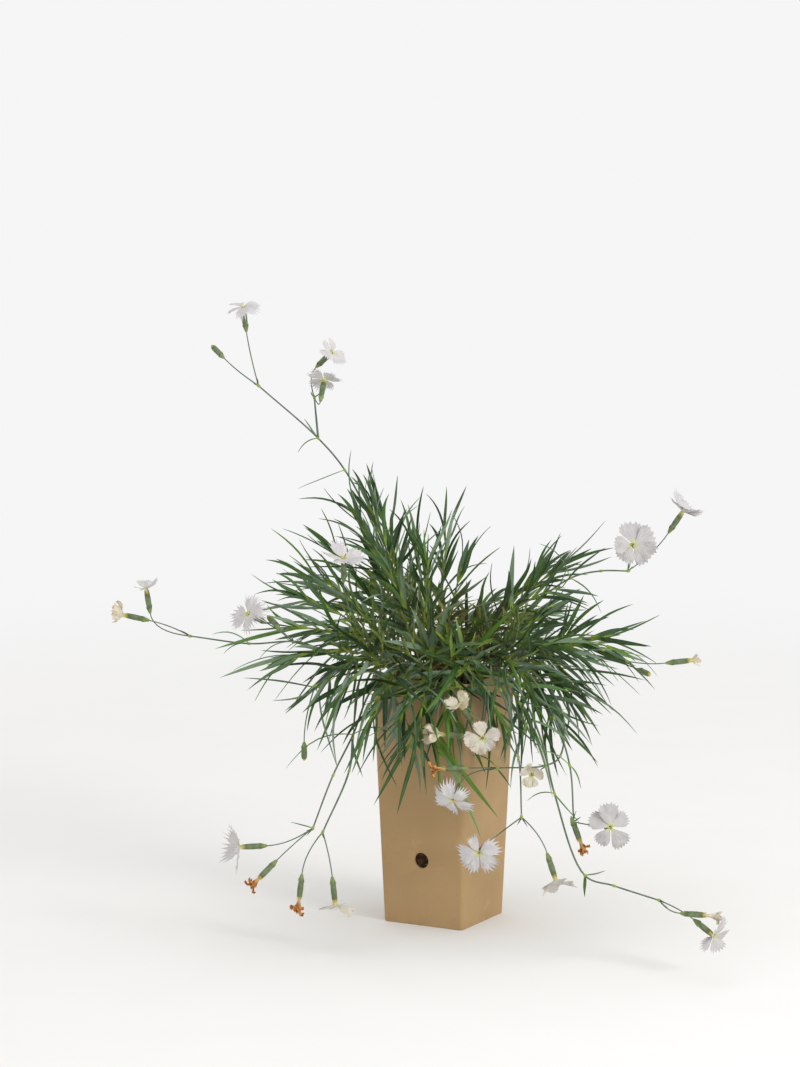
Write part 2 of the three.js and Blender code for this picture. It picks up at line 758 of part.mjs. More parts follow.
// A spent flower: its petals shrunk to a small ragged brush
function witheredBloom(radius, draw) {
  const sides = PETALS;
  const angles = Array.from({ length: 2 * sides }, (_, index) => (Math.PI * index) / sides);
  const evens = angles.filter((_, index) => index % 2 === 0);
  const local = [
    ...evens.map((angle) => [COLLAR_RADIUS, angle, GAP]),
    ...evens.map((angle) => [radius * 0.55, angle, radius * 0.7]),
    ...angles.map((angle, index) => (
      index % 2
        ? [radius * (0.7 + 0.4 * draw()), angle, radius * (1.6 + 0.8 * draw())]
        : [radius * 0.4, angle, radius * 1.2]
    )),
    [0, 0, radius * 0.9],
  ];
  const triangles = [];
  const crown = 2 * sides;
  const middle = local.length - 1;
  for (let side = 0; side < sides; side += 1) {
    const next = (side + 1) % sides;
    const neck = sides;
    triangles.push(side, next, neck + next, side, neck + next, neck + side);
    const tooth = crown + 2 * side + 1;
    const nextValley = crown + ((2 * side + 2) % (2 * sides));
    triangles.push(neck + side, tooth, crown + 2 * side);
    triangles.push(neck + side, neck + next, tooth, neck + next, nextValley, tooth);
    triangles.push(middle, crown + 2 * side, tooth, middle, tooth, nextValley);
  }
  triangles.push(0, 2, 1, 0, 3, 2, 0, 4, 3);
  return { local, triangles };
}

function bloom({ name, kind, radius }, frame) {
  const draw = seededDraws(100 + Number(name.slice(-2)) * 37);
  const shapes = {
    open: () => openBloom(radius, FRINGE, 0.02, 0.5, draw),
    aged: () => openBloom(radius, AGED_FRINGE, 0.3, 1.1, draw),
    withered: () => witheredBloom(radius, draw),
  };
  const { local, triangles } = shapes[kind]();
  const corners = local.map(([reach, angle, height]) => (
    frame.point.clone()
      .addScaledVector(frame.side, reach * Math.cos(angle))
      .addScaledVector(frame.across, reach * Math.sin(angle))
      .addScaledVector(frame.along, height)
  ));
  for (let spoke = 0; spoke < 2 * PETALS; spoke += 1) {
    const angle = (Math.PI * spoke) / PETALS;
    const rim = frame.point.clone()
      .addScaledVector(frame.side, radius * 0.8 * Math.cos(angle))
      .addScaledVector(frame.across, radius * 0.8 * Math.sin(angle))
      .addScaledVector(frame.along, 2);
    remember([frame.point, rim], radius * 0.26, name);
  }
  const geometry = skin(corners, triangles);
  geometry.computeVertexNormals();
  return named(name, geometry, PETAL_COLOURS[kind], 0.75);
}

// ---------------------------------------------------------------- leafy shoots

// Where along its curve a shoot's stem has its rings: a few on the bare part, and two at the
// foot of each pair of leaves
function shootStations(curve) {
  const lastLeg = 2 * curve.v2.distanceTo(curve.v1);
  const pairStep = PAIR_SPACING / lastLeg;
  const sheathStep = SHEATH_LENGTH / lastLeg;
  const firstPair = 1 - (PAIRS_PER_SHOOT - 0.4) * pairStep;
  const bareSteps = curve.v2.z < LOW_SHOOT_APEX ? LOW_SHOOT_BARE_STEPS : SHOOT_BARE_STEPS;
  const stations = Array.from({ length: bareSteps }, (_, step) => (firstPair * step) / bareSteps);
  for (let pair = 0; pair < PAIRS_PER_SHOOT; pair += 1) {
    stations.push(firstPair + pair * pairStep, firstPair + pair * pairStep + sheathStep);
  }
  return { stations, bareSteps };
}

// A shoot's route: up out of the soil, over the rim where it hangs, and out to its tip
function shootRoute(root, tip, tuft, shoot, draw) {
  const start = place([...root, SOIL_TOP + 2]);
  for (let attempt = 0; attempt < ROUTE_TRIES; attempt += 1) {
    const wander = 0.4 * attempt;
    const end = place(tip);
    end.x += (draw() - 0.5) * wander * 0.6;
    end.y += (draw() - 0.5) * wander * 0.6;
    end.z += (draw() - 0.5) * wander * 0.6;
    const span = Math.hypot(end.x - start.x, end.y - start.y);
    const control = start.clone().lerp(end, 0.42);
    control.x += (draw() - 0.5) * wander;
    control.y += (draw() - 0.5) * wander;
    control.z = start.z + 0.5 * (end.z - start.z) + SHOOT_ARCH * span + draw() * wander;
    if (end.z < LOW_SHOOT_APEX) {
      control.z = Math.max(control.z, LOW_SHOOT_CREST + draw() * wander);
    }
    const curve = new THREE.QuadraticBezierCurve3(start, control, end);
    const { stations } = shootStations(curve);
    const path = stations.map((station) => curve.getPoint(station));
    if (isClear(path, SHOOT_RADIUS + 0.3, tuft, 0)) {
      remember(path, SHOOT_RADIUS + 0.2, `${tuft}${shoot}`);
      return curve;
    }
  }
  return null;
}

// One leaf of a pair: it leaves the stem's face towards "out" and bends over at its middle
function leafLine(foot, along, out, across, share, owner, draw) {
  for (let attempt = 0; attempt < LEAF_TRIES; attempt += 1) {
    const spread = THREE.MathUtils.degToRad(50 - 34 * share + (draw() - 0.5) * (16 + 2 * attempt));
    const swing = (draw() - 0.5) * (0.5 + 0.08 * attempt);
    const length = LEAF_LENGTH * (1 - 0.25 * share) * (0.84 + 0.3 * draw()) * (1 - 0.02 * attempt);
    const droop = 0.02 + 0.14 * draw();
    const sideways = out.clone().addScaledVector(across, swing).normalize();
    const heading = between(along, sideways, spread);
    const bend = foot.clone().addScaledVector(heading, LEAF_WIDEST * length);
    const tip = foot.clone()
      .addScaledVector(heading, length)
      .addScaledVector(sideways, length * (0.16 * draw() - 0.04))
      .addScaledVector(UP, -length * droop);
    if (isClear([foot.clone().lerp(bend, 0.12), bend, tip], LEAF_WIDTH / 2, owner, 1.3)) {
      return { bend, tip, heading };
    }
  }
  return null;
}

// A stem with opposite pairs of leaves, each pair square to the one before. The stem has four
// sides, and a leaf is drawn out of the face that it grows from.
function leafyShoot(curve, owner, draw) {
  const { stations, bareSteps } = shootStations(curve);
  const frames = framesAlong(stations.map((station) => curve.getPoint(station)));
  const turn = draw() * 2 * Math.PI;
  const corners = frames.flatMap((frame, index) => {
    const taper = 1 - 0.3 * (index / frames.length);
    return ringAround(frame, SHOOT_RADIUS * taper, 4, turn);
  });
  const triangles = [0, 2, 1, 0, 3, 2];
  for (let ring = 0; ring < frames.length - 1; ring += 1) {
    const pair = (ring - bareSteps) / 2;
    const hasLeaves = pair >= 0 && Number.isInteger(pair);
    for (let side = 0; side < 4; side += 1) {
      const here = ring * 4 + side;
      const next = ring * 4 + (side + 1) % 4;
      if (hasLeaves && (side + pair) % 2 === 0) {
        const share = pair / (PAIRS_PER_SHOOT - 1);
        if (drawLeaf(corners, triangles, [here, next], frames[ring], turn, side, share, owner, draw)) {
          continue;
        }
      }
      triangles.push(here, next, next + 4, here, next + 4, here + 4);
    }
  }
  const top = frames[frames.length - 1];
  const lastRing = (frames.length - 1) * 4;
  corners.push(top.point.clone().addScaledVector(top.along, SHOOT_BUD_LENGTH));
  for (let side = 0; side < 4; side += 1) {
    triangles.push(lastRing + side, lastRing + (side + 1) % 4, corners.length - 1);
  }
  return skin(corners, triangles);
}

// Draws one leaf out of a face of the stem, adding its corners and triangles to the shoot's
function drawLeaf(corners, triangles, [here, next], frame, turn, side, share, owner, draw) {
  const angle = turn + ((side + 0.5) * Math.PI) / 2;
  const out = between(frame.side, frame.across, angle);
  const across = frame.along.clone().cross(out);
  const foot = frame.point.clone().addScaledVector(out, SHOOT_RADIUS * 0.6);
  const leaf = leafLine(foot, frame.along, out, across, share, owner, draw);
  if (!leaf) {
    return false;
  }
  const wide = across.clone().addScaledVector(leaf.heading, -across.dot(leaf.heading)).normalize();
  const above = leaf.heading.clone().cross(wide);
  const halfWidth = (LEAF_WIDTH / 2) * (1 - 0.25 * share);
  const keel = corners.length;
  corners.push(leaf.bend.clone().addScaledVector(above, -LEAF_THICKNESS));
  corners.push(leaf.bend.clone().addScaledVector(wide, halfWidth));
  corners.push(leaf.bend.clone().addScaledVector(wide, -halfWidth));
  corners.push(leaf.tip);
  const right = keel + 1;
  const left = keel + 2;
  const tip = keel + 3;
  triangles.push(here, next, keel, next, right, keel, next, next + 4, right);
  triangles.push(next + 4, here + 4, left, next + 4, left, right);
  triangles.push(here + 4, here, left, here, keel, left);
  triangles.push(keel, right, tip, right, left, tip, left, keel, tip);
  remember([foot.clone().lerp(leaf.bend, 0.12), leaf.bend, leaf.tip], LEAF_WIDTH / 2, owner);
  return true;
}

// ---------------------------------------------------------------- assembly

const object = new THREE.Group();
object.add(named("pot", toGeometry(potSolid()), POT_TAN, 0.85));

const roots = [
  ...FLOWER_STEMS.map(({ root }) => ({ root, radius: SPRAY_ROOT_RADIUS })),
  ...TUFTS.map(({ root }) => ({ root, radius: TUFT_ROOT_RADIUS })),
];
object.add(named("soil", toGeometry(soilSolid(roots)), SOIL_BROWN, 0.95));

const plant = new THREE.Group();
plant.rotation.z = PLANT_TURN;
object.add(plant);

for (const stem of FLOWER_STEMS) {
  plant.add(...flowerStem(stem));
}

// Stems of all the shoots come first, so that the leaves can keep clear of them
const tufts = TUFTS.map((tuft, index) => {
  const draw = seededDraws(1000 + 71 * index);
  const curves = tuft.tips.map((tip, shoot) => shootRoute(tuft.root, tip, `${tuft.name}.`, shoot, draw));
  return { ...tuft, draw, curves };
});
tufts.forEach(({ name, root, draw, curves }, index) => {
  const shoots = curves.map((curve, shoot) => curve && leafyShoot(curve, `${name}.${shoot}`, draw));
  const solid = fuse([rootStub(root, TUFT_ROOT_RADIUS), ...shoots.filter(Boolean)]);
  plant.add(named(name, toGeometry(solid), LEAF_GREENS[index % LEAF_GREENS.length], 0.6));
});

export default object;
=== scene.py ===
"""A fringed white pink (dianthus) growing in a tall square pot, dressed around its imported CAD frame.

The plant is worked out in millimetres in axes of its own, [across, away, up], which are turned in the
pot by PLANT_TURN, as in the CAD. Its leaves and flowers follow the CAD's centre lines, drawn from the
same seeds. Meshes are put into the scene in metres.
"""
from functools import lru_cache
from math import atan2, ceil, cos, hypot, pi, radians, sin, sqrt, tan

import bpy
import numpy as np
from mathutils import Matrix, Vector, noise


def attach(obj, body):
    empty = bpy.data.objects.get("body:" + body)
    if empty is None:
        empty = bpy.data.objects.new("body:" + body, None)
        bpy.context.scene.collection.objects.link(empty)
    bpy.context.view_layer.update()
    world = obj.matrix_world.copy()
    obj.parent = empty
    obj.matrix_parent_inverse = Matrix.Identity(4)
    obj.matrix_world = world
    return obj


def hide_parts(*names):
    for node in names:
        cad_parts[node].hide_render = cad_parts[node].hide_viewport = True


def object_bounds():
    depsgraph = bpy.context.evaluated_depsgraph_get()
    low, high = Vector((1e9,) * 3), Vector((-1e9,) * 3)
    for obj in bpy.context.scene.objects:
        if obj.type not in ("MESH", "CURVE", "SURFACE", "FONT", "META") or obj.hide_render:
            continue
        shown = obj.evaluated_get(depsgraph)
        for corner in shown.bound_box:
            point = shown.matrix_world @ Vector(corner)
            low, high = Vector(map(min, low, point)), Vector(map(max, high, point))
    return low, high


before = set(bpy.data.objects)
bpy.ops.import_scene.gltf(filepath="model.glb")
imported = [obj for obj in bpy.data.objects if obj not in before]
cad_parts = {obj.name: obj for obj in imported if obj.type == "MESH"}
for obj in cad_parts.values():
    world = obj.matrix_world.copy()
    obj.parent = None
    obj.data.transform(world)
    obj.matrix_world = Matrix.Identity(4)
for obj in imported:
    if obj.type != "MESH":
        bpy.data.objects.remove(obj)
cad_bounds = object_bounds()

MM = 0.001

# Pot and soil, as in the CAD
POT_HEIGHT = 205
POT_TOP_WIDTH = 90
POT_BOTTOM_WIDTH = 73
POT_WALL = 1.8
POT_FLOOR = 2.5
POT_TOP_CORNER = 7
POT_BOTTOM_CORNER = 2.6
POT_FOOT_BEVEL = 0.5
SIDE_HOLE_RADIUS = 6.5
SIDE_HOLE_HEIGHT = 55
DRAIN_HOLE_RADIUS = 4
DRAIN_HOLE_OFFSET = 19
GAP = 0.3
SOIL_TOP = POT_HEIGHT - 10
PLANT_TURN = radians(29)

# Leafy shoots, as in the CAD
SHOOT_RADIUS = 1.15
SHOOT_BARE_STEPS = 2
LOW_SHOOT_BARE_STEPS = 4
SHOOT_ARCH = 0.22
LOW_SHOOT_CREST = POT_HEIGHT + 40
LOW_SHOOT_APEX = POT_HEIGHT + 10
PAIRS_PER_SHOOT = 5
PAIR_SPACING = 10.5
SHEATH_LENGTH = 2.6
LEAF_LENGTH = 60
LEAF_WIDTH = 3.5
LEAF_WIDEST = 0.4
LEAF_TRIES = 12
OWN_LEAF_GAP = 1.3
ROUTE_TRIES = 60
CLEARANCE = 0.45

# Flower stems and flowers, as in the CAD
STEM_RADIUS = 0.8
STEM_RISE = POT_HEIGHT + 4
PEDICEL_RADIUS = 0.65
CALYX_LENGTH = 21
CALYX_RADIUS = 2.4
PETALS = 5
BUD_LENGTH = 15
STEM_LEAF_WIDTH = 3
ROOT_DEPTH = 9

# The CAD's flower stems, in plant axes: name, root, the routes of the stem and of its branches, leaves
# as (point, tip) and heads as (number, kind, radius, point, mouth, facing). A point is told by its
# place among those of all the routes, from 0, or by -1 for the last.
FLOWER_STEMS = [
    ("tall_left", [-22, 29], [
        [[-34, 34, 262], [-60, 40, 326], [-82, 40, 369], [-104, 35, 396], [-153, 30, 440]],
        [[-104, 35, 396], [-107, 32, 430]],
    ], [(3, [-121, 30, 384]), (3, [-116, 40, 412]), (2, [-122, 52, 352])], [
        (1, "open", 15, 4, [-165, 20, 504], [-1, -3, 8]),
        (2, "bud", 0, 4, [-192, 36, 473], [-5, 1, 5]),
        (3, "open", 14, -1, [-93, 34, 467], [6, -5, 6]),
        (4, "open", 14, -1, [-99, 30, 444], [1, 5, 6]),
    ]),
    ("left_upright", [-25, -8], [
        [[-56, -22, 232], [-76, -30, 258]],
    ], [], [
        (5, "open", 17, -1, [-82, -37, 304], [0, -3, 8]),
    ]),
    ("left_front", [-34, -14], [
        [[-82, -44, 226], [-122, -60, 240]],
    ], [(-1, [-150, -66, 226])], [
        (6, "open", 17, -1, [-157, -78, 265], [-6, -6, 4]),
        (6, "bud", 0, -1, [-143, -64, 262], [-4, 1, 4]),
    ]),
    ("far_left", [-35, 5], [
        [[-78, -4, 214], [-118, -10, 232], [-160, -10, 231], [-208, -15, 238]],
    ], [(2, [-190, -20, 240]), (2, [-182, 4, 220])], [
        (7, "open", 12, -1, [-243, -20, 277], [-1, -2, 8]),
        (8, "aged", 9, -1, [-263, 2, 253], [-9, 0, 2]),
    ]),
    ("hanging_left", [-14, -33], [
        [[-38, -60, 222], [-60, -74, 202], [-74, -80, 168], [-90, -86, 136], [-106, -95, 95]],
        [[-74, -80, 168], [-77, -93, 141], [-98, -101, 93]],
    ], [(2, [-128, -100, 143]), (2, [-38, -92, 170]), (2, [-66, -72, 131]), (4, [-124, -96, 100])], [
        (12, "open", 18, 4, [-163, -101, 81], [-9, -2, 0]),
        (13, "withered", 5, 4, [-149, -110, 57], [-6, -1, -6]),
        (14, "withered", 6, -1, [-117, -101, 38], [-1, 0, -9]),
        (15, "open", 14, -1, [-88, -116, 39], [1, -1, -9]),
    ]),
    ("bud_left", [-31, -24], [
        [[-70, -62, 226], [-104, -82, 208]],
    ], [], [
        (16, "bud", 0, -1, [-113, -86, 148], [0, 0, -9]),
    ]),
    ("right_high", [25, 5], [
        [[58, -2, 248], [103, -10, 285], [128, -10, 291], [150, -10, 291]],
    ], [(1, [77, -15, 314]), (1, [128, -20, 257])], [
        (9, "open", 17, -1, [152, -32, 315], [0, -9, 2]),
        (10, "open", 17, -1, [195, 0, 338], [5, -2, 8]),
    ]),
    ("right", [35, -6], [
        [[84, -12, 218], [130, -12, 226], [150, -15, 217]],
    ], [(1, [176, -4, 202])], [
        (11, "aged", 7, -1, [202, -16, 218], [9, 0, 1]),
        (11, "bud", 0, -1, [168, -30, 208], [3, -3, -1]),
    ]),
    ("front", [10, -34], [
        [[24, -52, 224], [44, -80, 204], [58, -92, 152], [60, -110, 107]],
    ], [], [
        (22, "open", 16.5, -1, [26, -126, 82], [-3, -9, -1]),
        (24, "aged", 12, -1, [86, -130, 62], [2, -2, -6]),
    ]),
    ("front_right", [26, -27], [
        [[62, -58, 218], [87, -72, 180], [99, -90, 145], [102, -100, 101]],
    ], [(2, [72, -84, 154]), (2, [108, -92, 126])], [
        (25, "open", 18, -1, [130, -116, 100], [1, -9, 2]),
        (26, "withered", 5, -1, [107, -107, 86], [3, -2, -8]),
    ]),
    ("trailing_right", [18, -37], [
        [[50, -66, 214], [76, -84, 166], [86, -110, 126], [108, -150, 69], [130, -165, 64], [164, -180, 56]],
    ], [(2, [64, -112, 120]), (2, [106, -116, 103]), (3, [108, -154, 52]), (3, [124, -156, 74])], [
        (27, "withered", 5, -1, [199, -200, 49], [9, -3, 0]),
        (28, "open", 15, -1, [203, -206, 35], [6, -6, -4]),
    ]),
    ("over_pot", [31, -20], [
        [[68, -44, 214], [94, -64, 184], [92, -78, 150], [80, -86, 144], [41, -91, 143]],
    ], [(-1, [20, -86, 152]), (-1, [52, -96, 128])], [
        (23, "aged", 11, 3, [68, -104, 140], [0, -9, 0]),
        (20, "withered", 5, -1, [-3, -99, 144], [-9, -1, 0]),
        (21, "open", 17, -1, [6, -110, 121], [-3, -8, -5]),
    ]),
    ("rim", [0, -36], [
        [[14, -54, 218], [32, -66, 204]],
    ], [], [
        (17, "aged", 10, -1, [12, -86, 192], [-4, -3, 6]),
        (18, "aged", 9, -1, [-4, -90, 170], [-9, -2, 1]),
        (19, "aged", 16, -1, [29, -96, 168], [0, -9, 2]),
    ]),
]
# The CAD's tufts of leafy shoots: name, root and each shoot's tip
TUFTS = [
    ["left_high", [-17, 12], [[-72, 20, 333], [-58, 0, 336], [-48, 32, 324]]],
    ["left_back", [-27, 20], [[-88, 52, 295], [-104, 32, 276], [-60, 72, 298]]],
    ["middle_back", [-6, 9], [[-22, 22, 300], [2, 44, 304], [16, 10, 296]]],
    ["middle_front", [-12, -2], [[-14, -14, 294], [-42, -12, 284]]],
    ["centre", [5, 8], [[33, 30, 254], [22, 62, 236]]],
    ["right_high", [18, 12], [[72, 32, 278], [88, 12, 286], [98, -12, 276]]],
    ["right", [29, -3], [[94, -22, 232], [137, 0, 234], [74, -2, 248]]],
    ["right_back", [25, 21], [[118, 46, 220], [134, 26, 224], [88, 62, 250]]],
    ["right_low", [27, -13], [[95, -24, 197], [98, -2, 206], [86, -44, 181]]],
    ["front_right", [14, -18], [[68, -62, 206], [66, -80, 180]]],
    ["front", [4, -19], [[24, -60, 204], [40, -70, 188], [4, -66, 184]]],
    ["front_left", [-7, -18], [[-20, -82, 178], [-38, -90, 172], [-12, -58, 214]]],
    ["left", [-29, -1], [[-110, -20, 268], [-90, 0, 276], [-80, -28, 242]]],
    ["left_front", [-24, -16], [[-117, -50, 250], [-117, -62, 228]]],
    ["left_low", [-19, -25], [[-100, -72, 204], [-80, -88, 208], [-58, -86, 186]]],
    ["back", [2, 23], [[-22, 95, 250], [34, 100, 228], [5, 116, 210]]],
    ["back_right", [13, 25], [[64, 92, 240], [74, 106, 214]]],
    ["back_left", [-14, 24], [[-55, 100, 258], [-80, 94, 222]]],
]

UP = np.array([0.0, 0.0, 1.0])


def place(coordinates):
    return np.array(coordinates, float)


def mesh_of(name, corners, triangles):
    """A mesh whose corners are given in millimetres."""
    mesh = bpy.data.meshes.new(name)
    mesh.from_pydata((corners * MM).tolist(), [], triangles.tolist())
    return mesh


def put(name, data):
    """A new object in the scene."""
    made = bpy.data.objects.new(name, data)
    bpy.context.scene.collection.objects.link(made)
    return made


def unit(vector):
    return vector / sqrt(vector @ vector)


def square_to(vector, along):
    """The part of a vector at right angles to a direction, as a direction."""
    return unit(vector - along * (vector @ along))


def distance(first, second):
    return sqrt((first - second) @ (first - second))


def seeded_draws(seed):
    """The same run of draws as in the CAD: a number from 0 to 1 at each call."""
    state = seed

    def draw():
        nonlocal state
        state = state * 16807 % 2147483647
        return state / 2147483647
    return draw


# ---------------------------------------------------------------- paths

def between(start, towards, angle):
    return start * cos(angle) + towards * sin(angle)


def frames_along(points):
    """(point, along, side, across) at each point of a path, with no twist."""
    side = place([1, 0, 0])
    frames = []
    for index, point in enumerate(points):
        along = unit(points[min(index + 1, len(points) - 1)] - points[max(index - 1, 0)])
        if index == 0 and abs(along[0]) > 0.9:
            side = place([0, 1, 0])
        side = square_to(side, along)
        frames.append((point, along, side, np.cross(along, side)))
    return frames


def bezier(start, control, end, share):
    return (1 - share) ** 2 * start + 2 * (1 - share) * share * control + share ** 2 * end


def smooth_path(points, divisions):
    """Points on the centripetal Catmull-Rom curve through the given ones."""
    ends = [2 * points[0] - points[1], 2 * points[-1] - points[-2]]
    padded = [ends[0], *points, ends[1]]
    path = []
    for division in range(divisions + 1):
        position = (len(points) - 1) * division / divisions
        leg = min(int(position), len(points) - 2)
        t = position - leg
        p0, p1, p2, p3 = padded[leg:leg + 4]
        d0, d1, d2 = [distance(a, b) ** 0.5 for a, b in ((p0, p1), (p1, p2), (p2, p3))]
        first = ((p1 - p0) / d0 - (p2 - p0) / (d0 + d1) + (p2 - p1) / d1) * d1
        second = ((p2 - p1) / d1 - (p3 - p1) / (d1 + d2) + (p3 - p2) / d2) * d1
        square = -3 * p1 + 3 * p2 - 2 * first - second
        cube = 2 * p1 - 2 * p2 + first + second
        path.append(p1 + first * t + square * t * t + cube * t ** 3)
    return path


# ---------------------------------------------------------------- keeping clear

class ThickLines:
    """All that has been placed, as thick lines. An owner is (tuft, shoot); flowers have no tuft."""

    MOST = 12000
    POT_STEP = 4

    def __init__(self):
        self.count = 0
        self.starts = np.zeros((self.MOST, 3))
        self.ends = np.zeros((self.MOST, 3))
        self.radii = np.zeros(self.MOST)
        self.owners = np.zeros((self.MOST, 2), int)

    def remember(self, points, radius, owner=(-1, -1)):
        for start, end in zip(points, points[1:]):
            self.starts[self.count] = start
            self.ends[self.count] = end
            self.radii[self.count] = radius
            self.owners[self.count] = owner
            self.count += 1

    def gaps(self, start, end):
        """From one line to each of the others."""
        first = end - start
        second = self.ends[:self.count] - self.starts[:self.count]
        apart = start - self.starts[:self.count]
        first_squared = first @ first
        second_squared = (second * second).sum(1)
        dot = second @ first
        first_apart = apart @ first
        second_apart = (apart * second).sum(1)
        spread = first_squared * second_squared - dot * dot
        askew = spread > 1e-9
        share = (dot * second_apart - first_apart * second_squared) / np.where(askew, spread, 1)
        s = np.where(askew, np.clip(share, 0, 1), 0)
        t = np.clip((dot * s + second_apart) / second_squared, 0, 1)
        s = np.clip((dot * t - first_apart) / first_squared, 0, 1)
        return np.linalg.norm(apart + s[:, None] * first - t[:, None] * second, axis=1)

    def are_clear(self, points, radius, owner, own_gap):
        """Whether a line keeps clear of the pot and of the others; own_gap is for the owner's own
        lines, where a shoot of None stands for all of its tuft's."""
        for start, end in zip(points, points[1:]):
            samples = ceil(distance(start, end) / self.POT_STEP)
            for sample in range(1, samples + 1):
                point = start + (end - start) * (sample / samples)
                if point[2] < radius + CLEARANCE or blocked_by_pot(point, radius + CLEARANCE):
                    return False
            owners = self.owners[:self.count]
            own = owners[:, 0] == owner[0]
            if owner[1] is not None:
                own &= owners[:, 1] == owner[1]
            needed = np.where(own, own_gap, radius + self.radii[:self.count] + CLEARANCE)
            if ((needed > 0) & (self.gaps(start, end) < needed)).any():
                return False
        return True


def mix_numbers(first, second, share):
    return (1 - share) * first + share * second


def pot_half_width(height):
    return mix_numbers(POT_BOTTOM_WIDTH / 2, POT_TOP_WIDTH / 2, height / POT_HEIGHT)


def turned(points):
    """From the plant's axes to the pot's."""
    cosine, sine = cos(PLANT_TURN), sin(PLANT_TURN)
    x, y, z = points[..., 0], points[..., 1], points[..., 2]
    return np.stack([x * cosine - y * sine, x * sine + y * cosine, z], axis=-1)


def blocked_by_pot(point, margin):
    if point[2] > POT_HEIGHT + margin:
        return False
    in_pot = turned(point)
    reach = max(abs(in_pot[0]), abs(in_pot[1]))
    outer = pot_half_width(point[2])
    over_soil = point[2] > SOIL_TOP + margin and reach < outer - POT_WALL - margin
    return reach < outer + margin and not over_soil


# ---------------------------------------------------------------- meshes

# What each corner tells the materials, among them the painted shade on petals
VALUES = ("along", "across", "under", "tone", "age", "wax")


@lru_cache
def tube_triangles(rings, sides):
    """A closed tube: after its rings' corners come a point in its first ring and one in its last."""
    triangles = []
    for ring in range(rings - 1):
        for side in range(sides):
            here = ring * sides + side
            beside = ring * sides + (side + 1) % sides
            triangles += [(here, beside, beside + sides), (here, beside + sides, here + sides)]
    top = (rings - 1) * sides
    for side in range(sides):
        beside = (side + 1) % sides
        triangles += [(rings * sides, beside, side), (rings * sides + 1, top + side, top + beside)]
    return triangles


@lru_cache
def sheet_triangles(rows, columns):
    triangles = []
    for row in range(rows - 1):
        for column in range(columns - 1):
            here = row * columns + column
            triangles += [(here, here + 1, here + columns + 1), (here, here + columns + 1, here + columns)]
    return triangles


class Skin:
    """Corners with values for the shaders, and triangles: together they become one mesh."""

    def __init__(self):
        self.corners = []
        self.triangles = []
        self.finishes = []
        self.values = {name: [] for name in VALUES}
        self.count = 0

    def add(self, corners, triangles, finish=0, **values):
        corners = np.asarray(corners, float)
        self.corners.append(corners)
        self.triangles.append(np.asarray(triangles, int) + self.count)
        self.finishes.append(np.full(len(triangles), finish))
        for name in VALUES:
            value = np.asarray(values.get(name, 0.0), float)
            self.values[name].append(np.broadcast_to(value, len(corners)))
        self.count += len(corners)

    def add_rings(self, rings, finish=0, **values):
        """A closed body through rings of equally many corners, with a point in each flat end."""
        sides = len(rings[0])
        corners = np.concatenate([*rings, [np.mean(rings[0], axis=0), np.mean(rings[-1], axis=0)]])
        spread = {}
        for name, value in values.items():
            value = np.asarray(value, float)
            if value.ndim == 1:
                value = np.append(np.repeat(value, sides), [value[0], value[-1]])
            elif value.ndim == 2:
                value = np.append(value.ravel(), [value[0].mean(), value[-1].mean()])
            spread[name] = value
        self.add(corners, tube_triangles(len(rings), sides), finish, **spread)

    def add_sheet(self, grid, thickness, finish=0, extra=(), **values):
        """A thin closed shell on a grid of corners, with any extra corners after the grid's and extra
        triangles beyond its last row. The thickness is one for all or each corner's own."""
        extra_corners, extra_triangles = extra or (np.zeros((0, 3)), [])
        corners = np.concatenate([grid.reshape(-1, 3), extra_corners])
        triangles = np.array(list(sheet_triangles(*grid.shape[:2])) + list(extra_triangles))
        a, b, c = (corners[triangles[:, index]] for index in range(3))
        face_normals = np.cross(b - a, c - a)
        normals = np.zeros_like(corners)
        for index in range(3):
            np.add.at(normals, triangles[:, index], face_normals)
        normals /= np.maximum(np.linalg.norm(normals, axis=1, keepdims=True), 1e-9)
        count = len(corners)
        edges = {(int(t[i]), int(t[(i + 1) % 3])) for t in triangles for i in range(3)}
        rim = [edge for edge in edges if edge[::-1] not in edges]
        walls = [(near, near + count, far + count) for near, far in sorted(rim)]
        walls += [(near, far + count, far) for near, far in sorted(rim)]
        half = normals * np.broadcast_to(thickness, count)[:, None] / 2
        both = np.concatenate([corners + half, corners - half])
        faces = np.concatenate([triangles, triangles[:, ::-1] + count, walls])
        doubled = {name: np.tile(np.broadcast_to(value, count), 2) for name, value in values.items()}
        doubled["under"] = np.repeat([0.0, 1.0], count)
        self.add(both, faces, finish, **doubled)

    def piece(self, name, finishes, nodes, sharp=60, turn=True):
        """The mesh as an object of the scene that stands for the CAD's nodes; turn takes it from the
        plant's axes to the pot's."""
        corners = np.concatenate(self.corners)
        mesh = mesh_of(name, turned(corners) if turn else corners, np.concatenate(self.triangles))
        mesh.polygons.foreach_set("material_index", np.concatenate(self.finishes).astype(np.int32))
        for value_name, parts in self.values.items():
            layer = mesh.attributes.new(value_name, "FLOAT", "POINT")
            layer.data.foreach_set("value", np.concatenate(parts).astype(np.float32))
        for finish in finishes:
            mesh.materials.append(finish)
        mesh.validate()
        mesh.shade_smooth()
        mesh.set_sharp_from_angle(angle=radians(sharp))
        made = put(name, mesh)
        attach(made, "root")
        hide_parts(*nodes)
        return made


def ring_around(ring_frame, radius, sides):
    point, _, side, across = ring_frame
    angles = np.arange(sides) * 2 * pi / sides
    return point + radius * (np.cos(angles)[:, None] * side + np.sin(angles)[:, None] * across)


def add_rod(skin, points, radii, sides=8, finish=0, **values):
    rings = [ring_around(ring, radius, sides) for ring, radius in zip(frames_along(points), radii)]
    skin.add_rings(rings, finish, **values)


# ---------------------------------------------------------------- materials

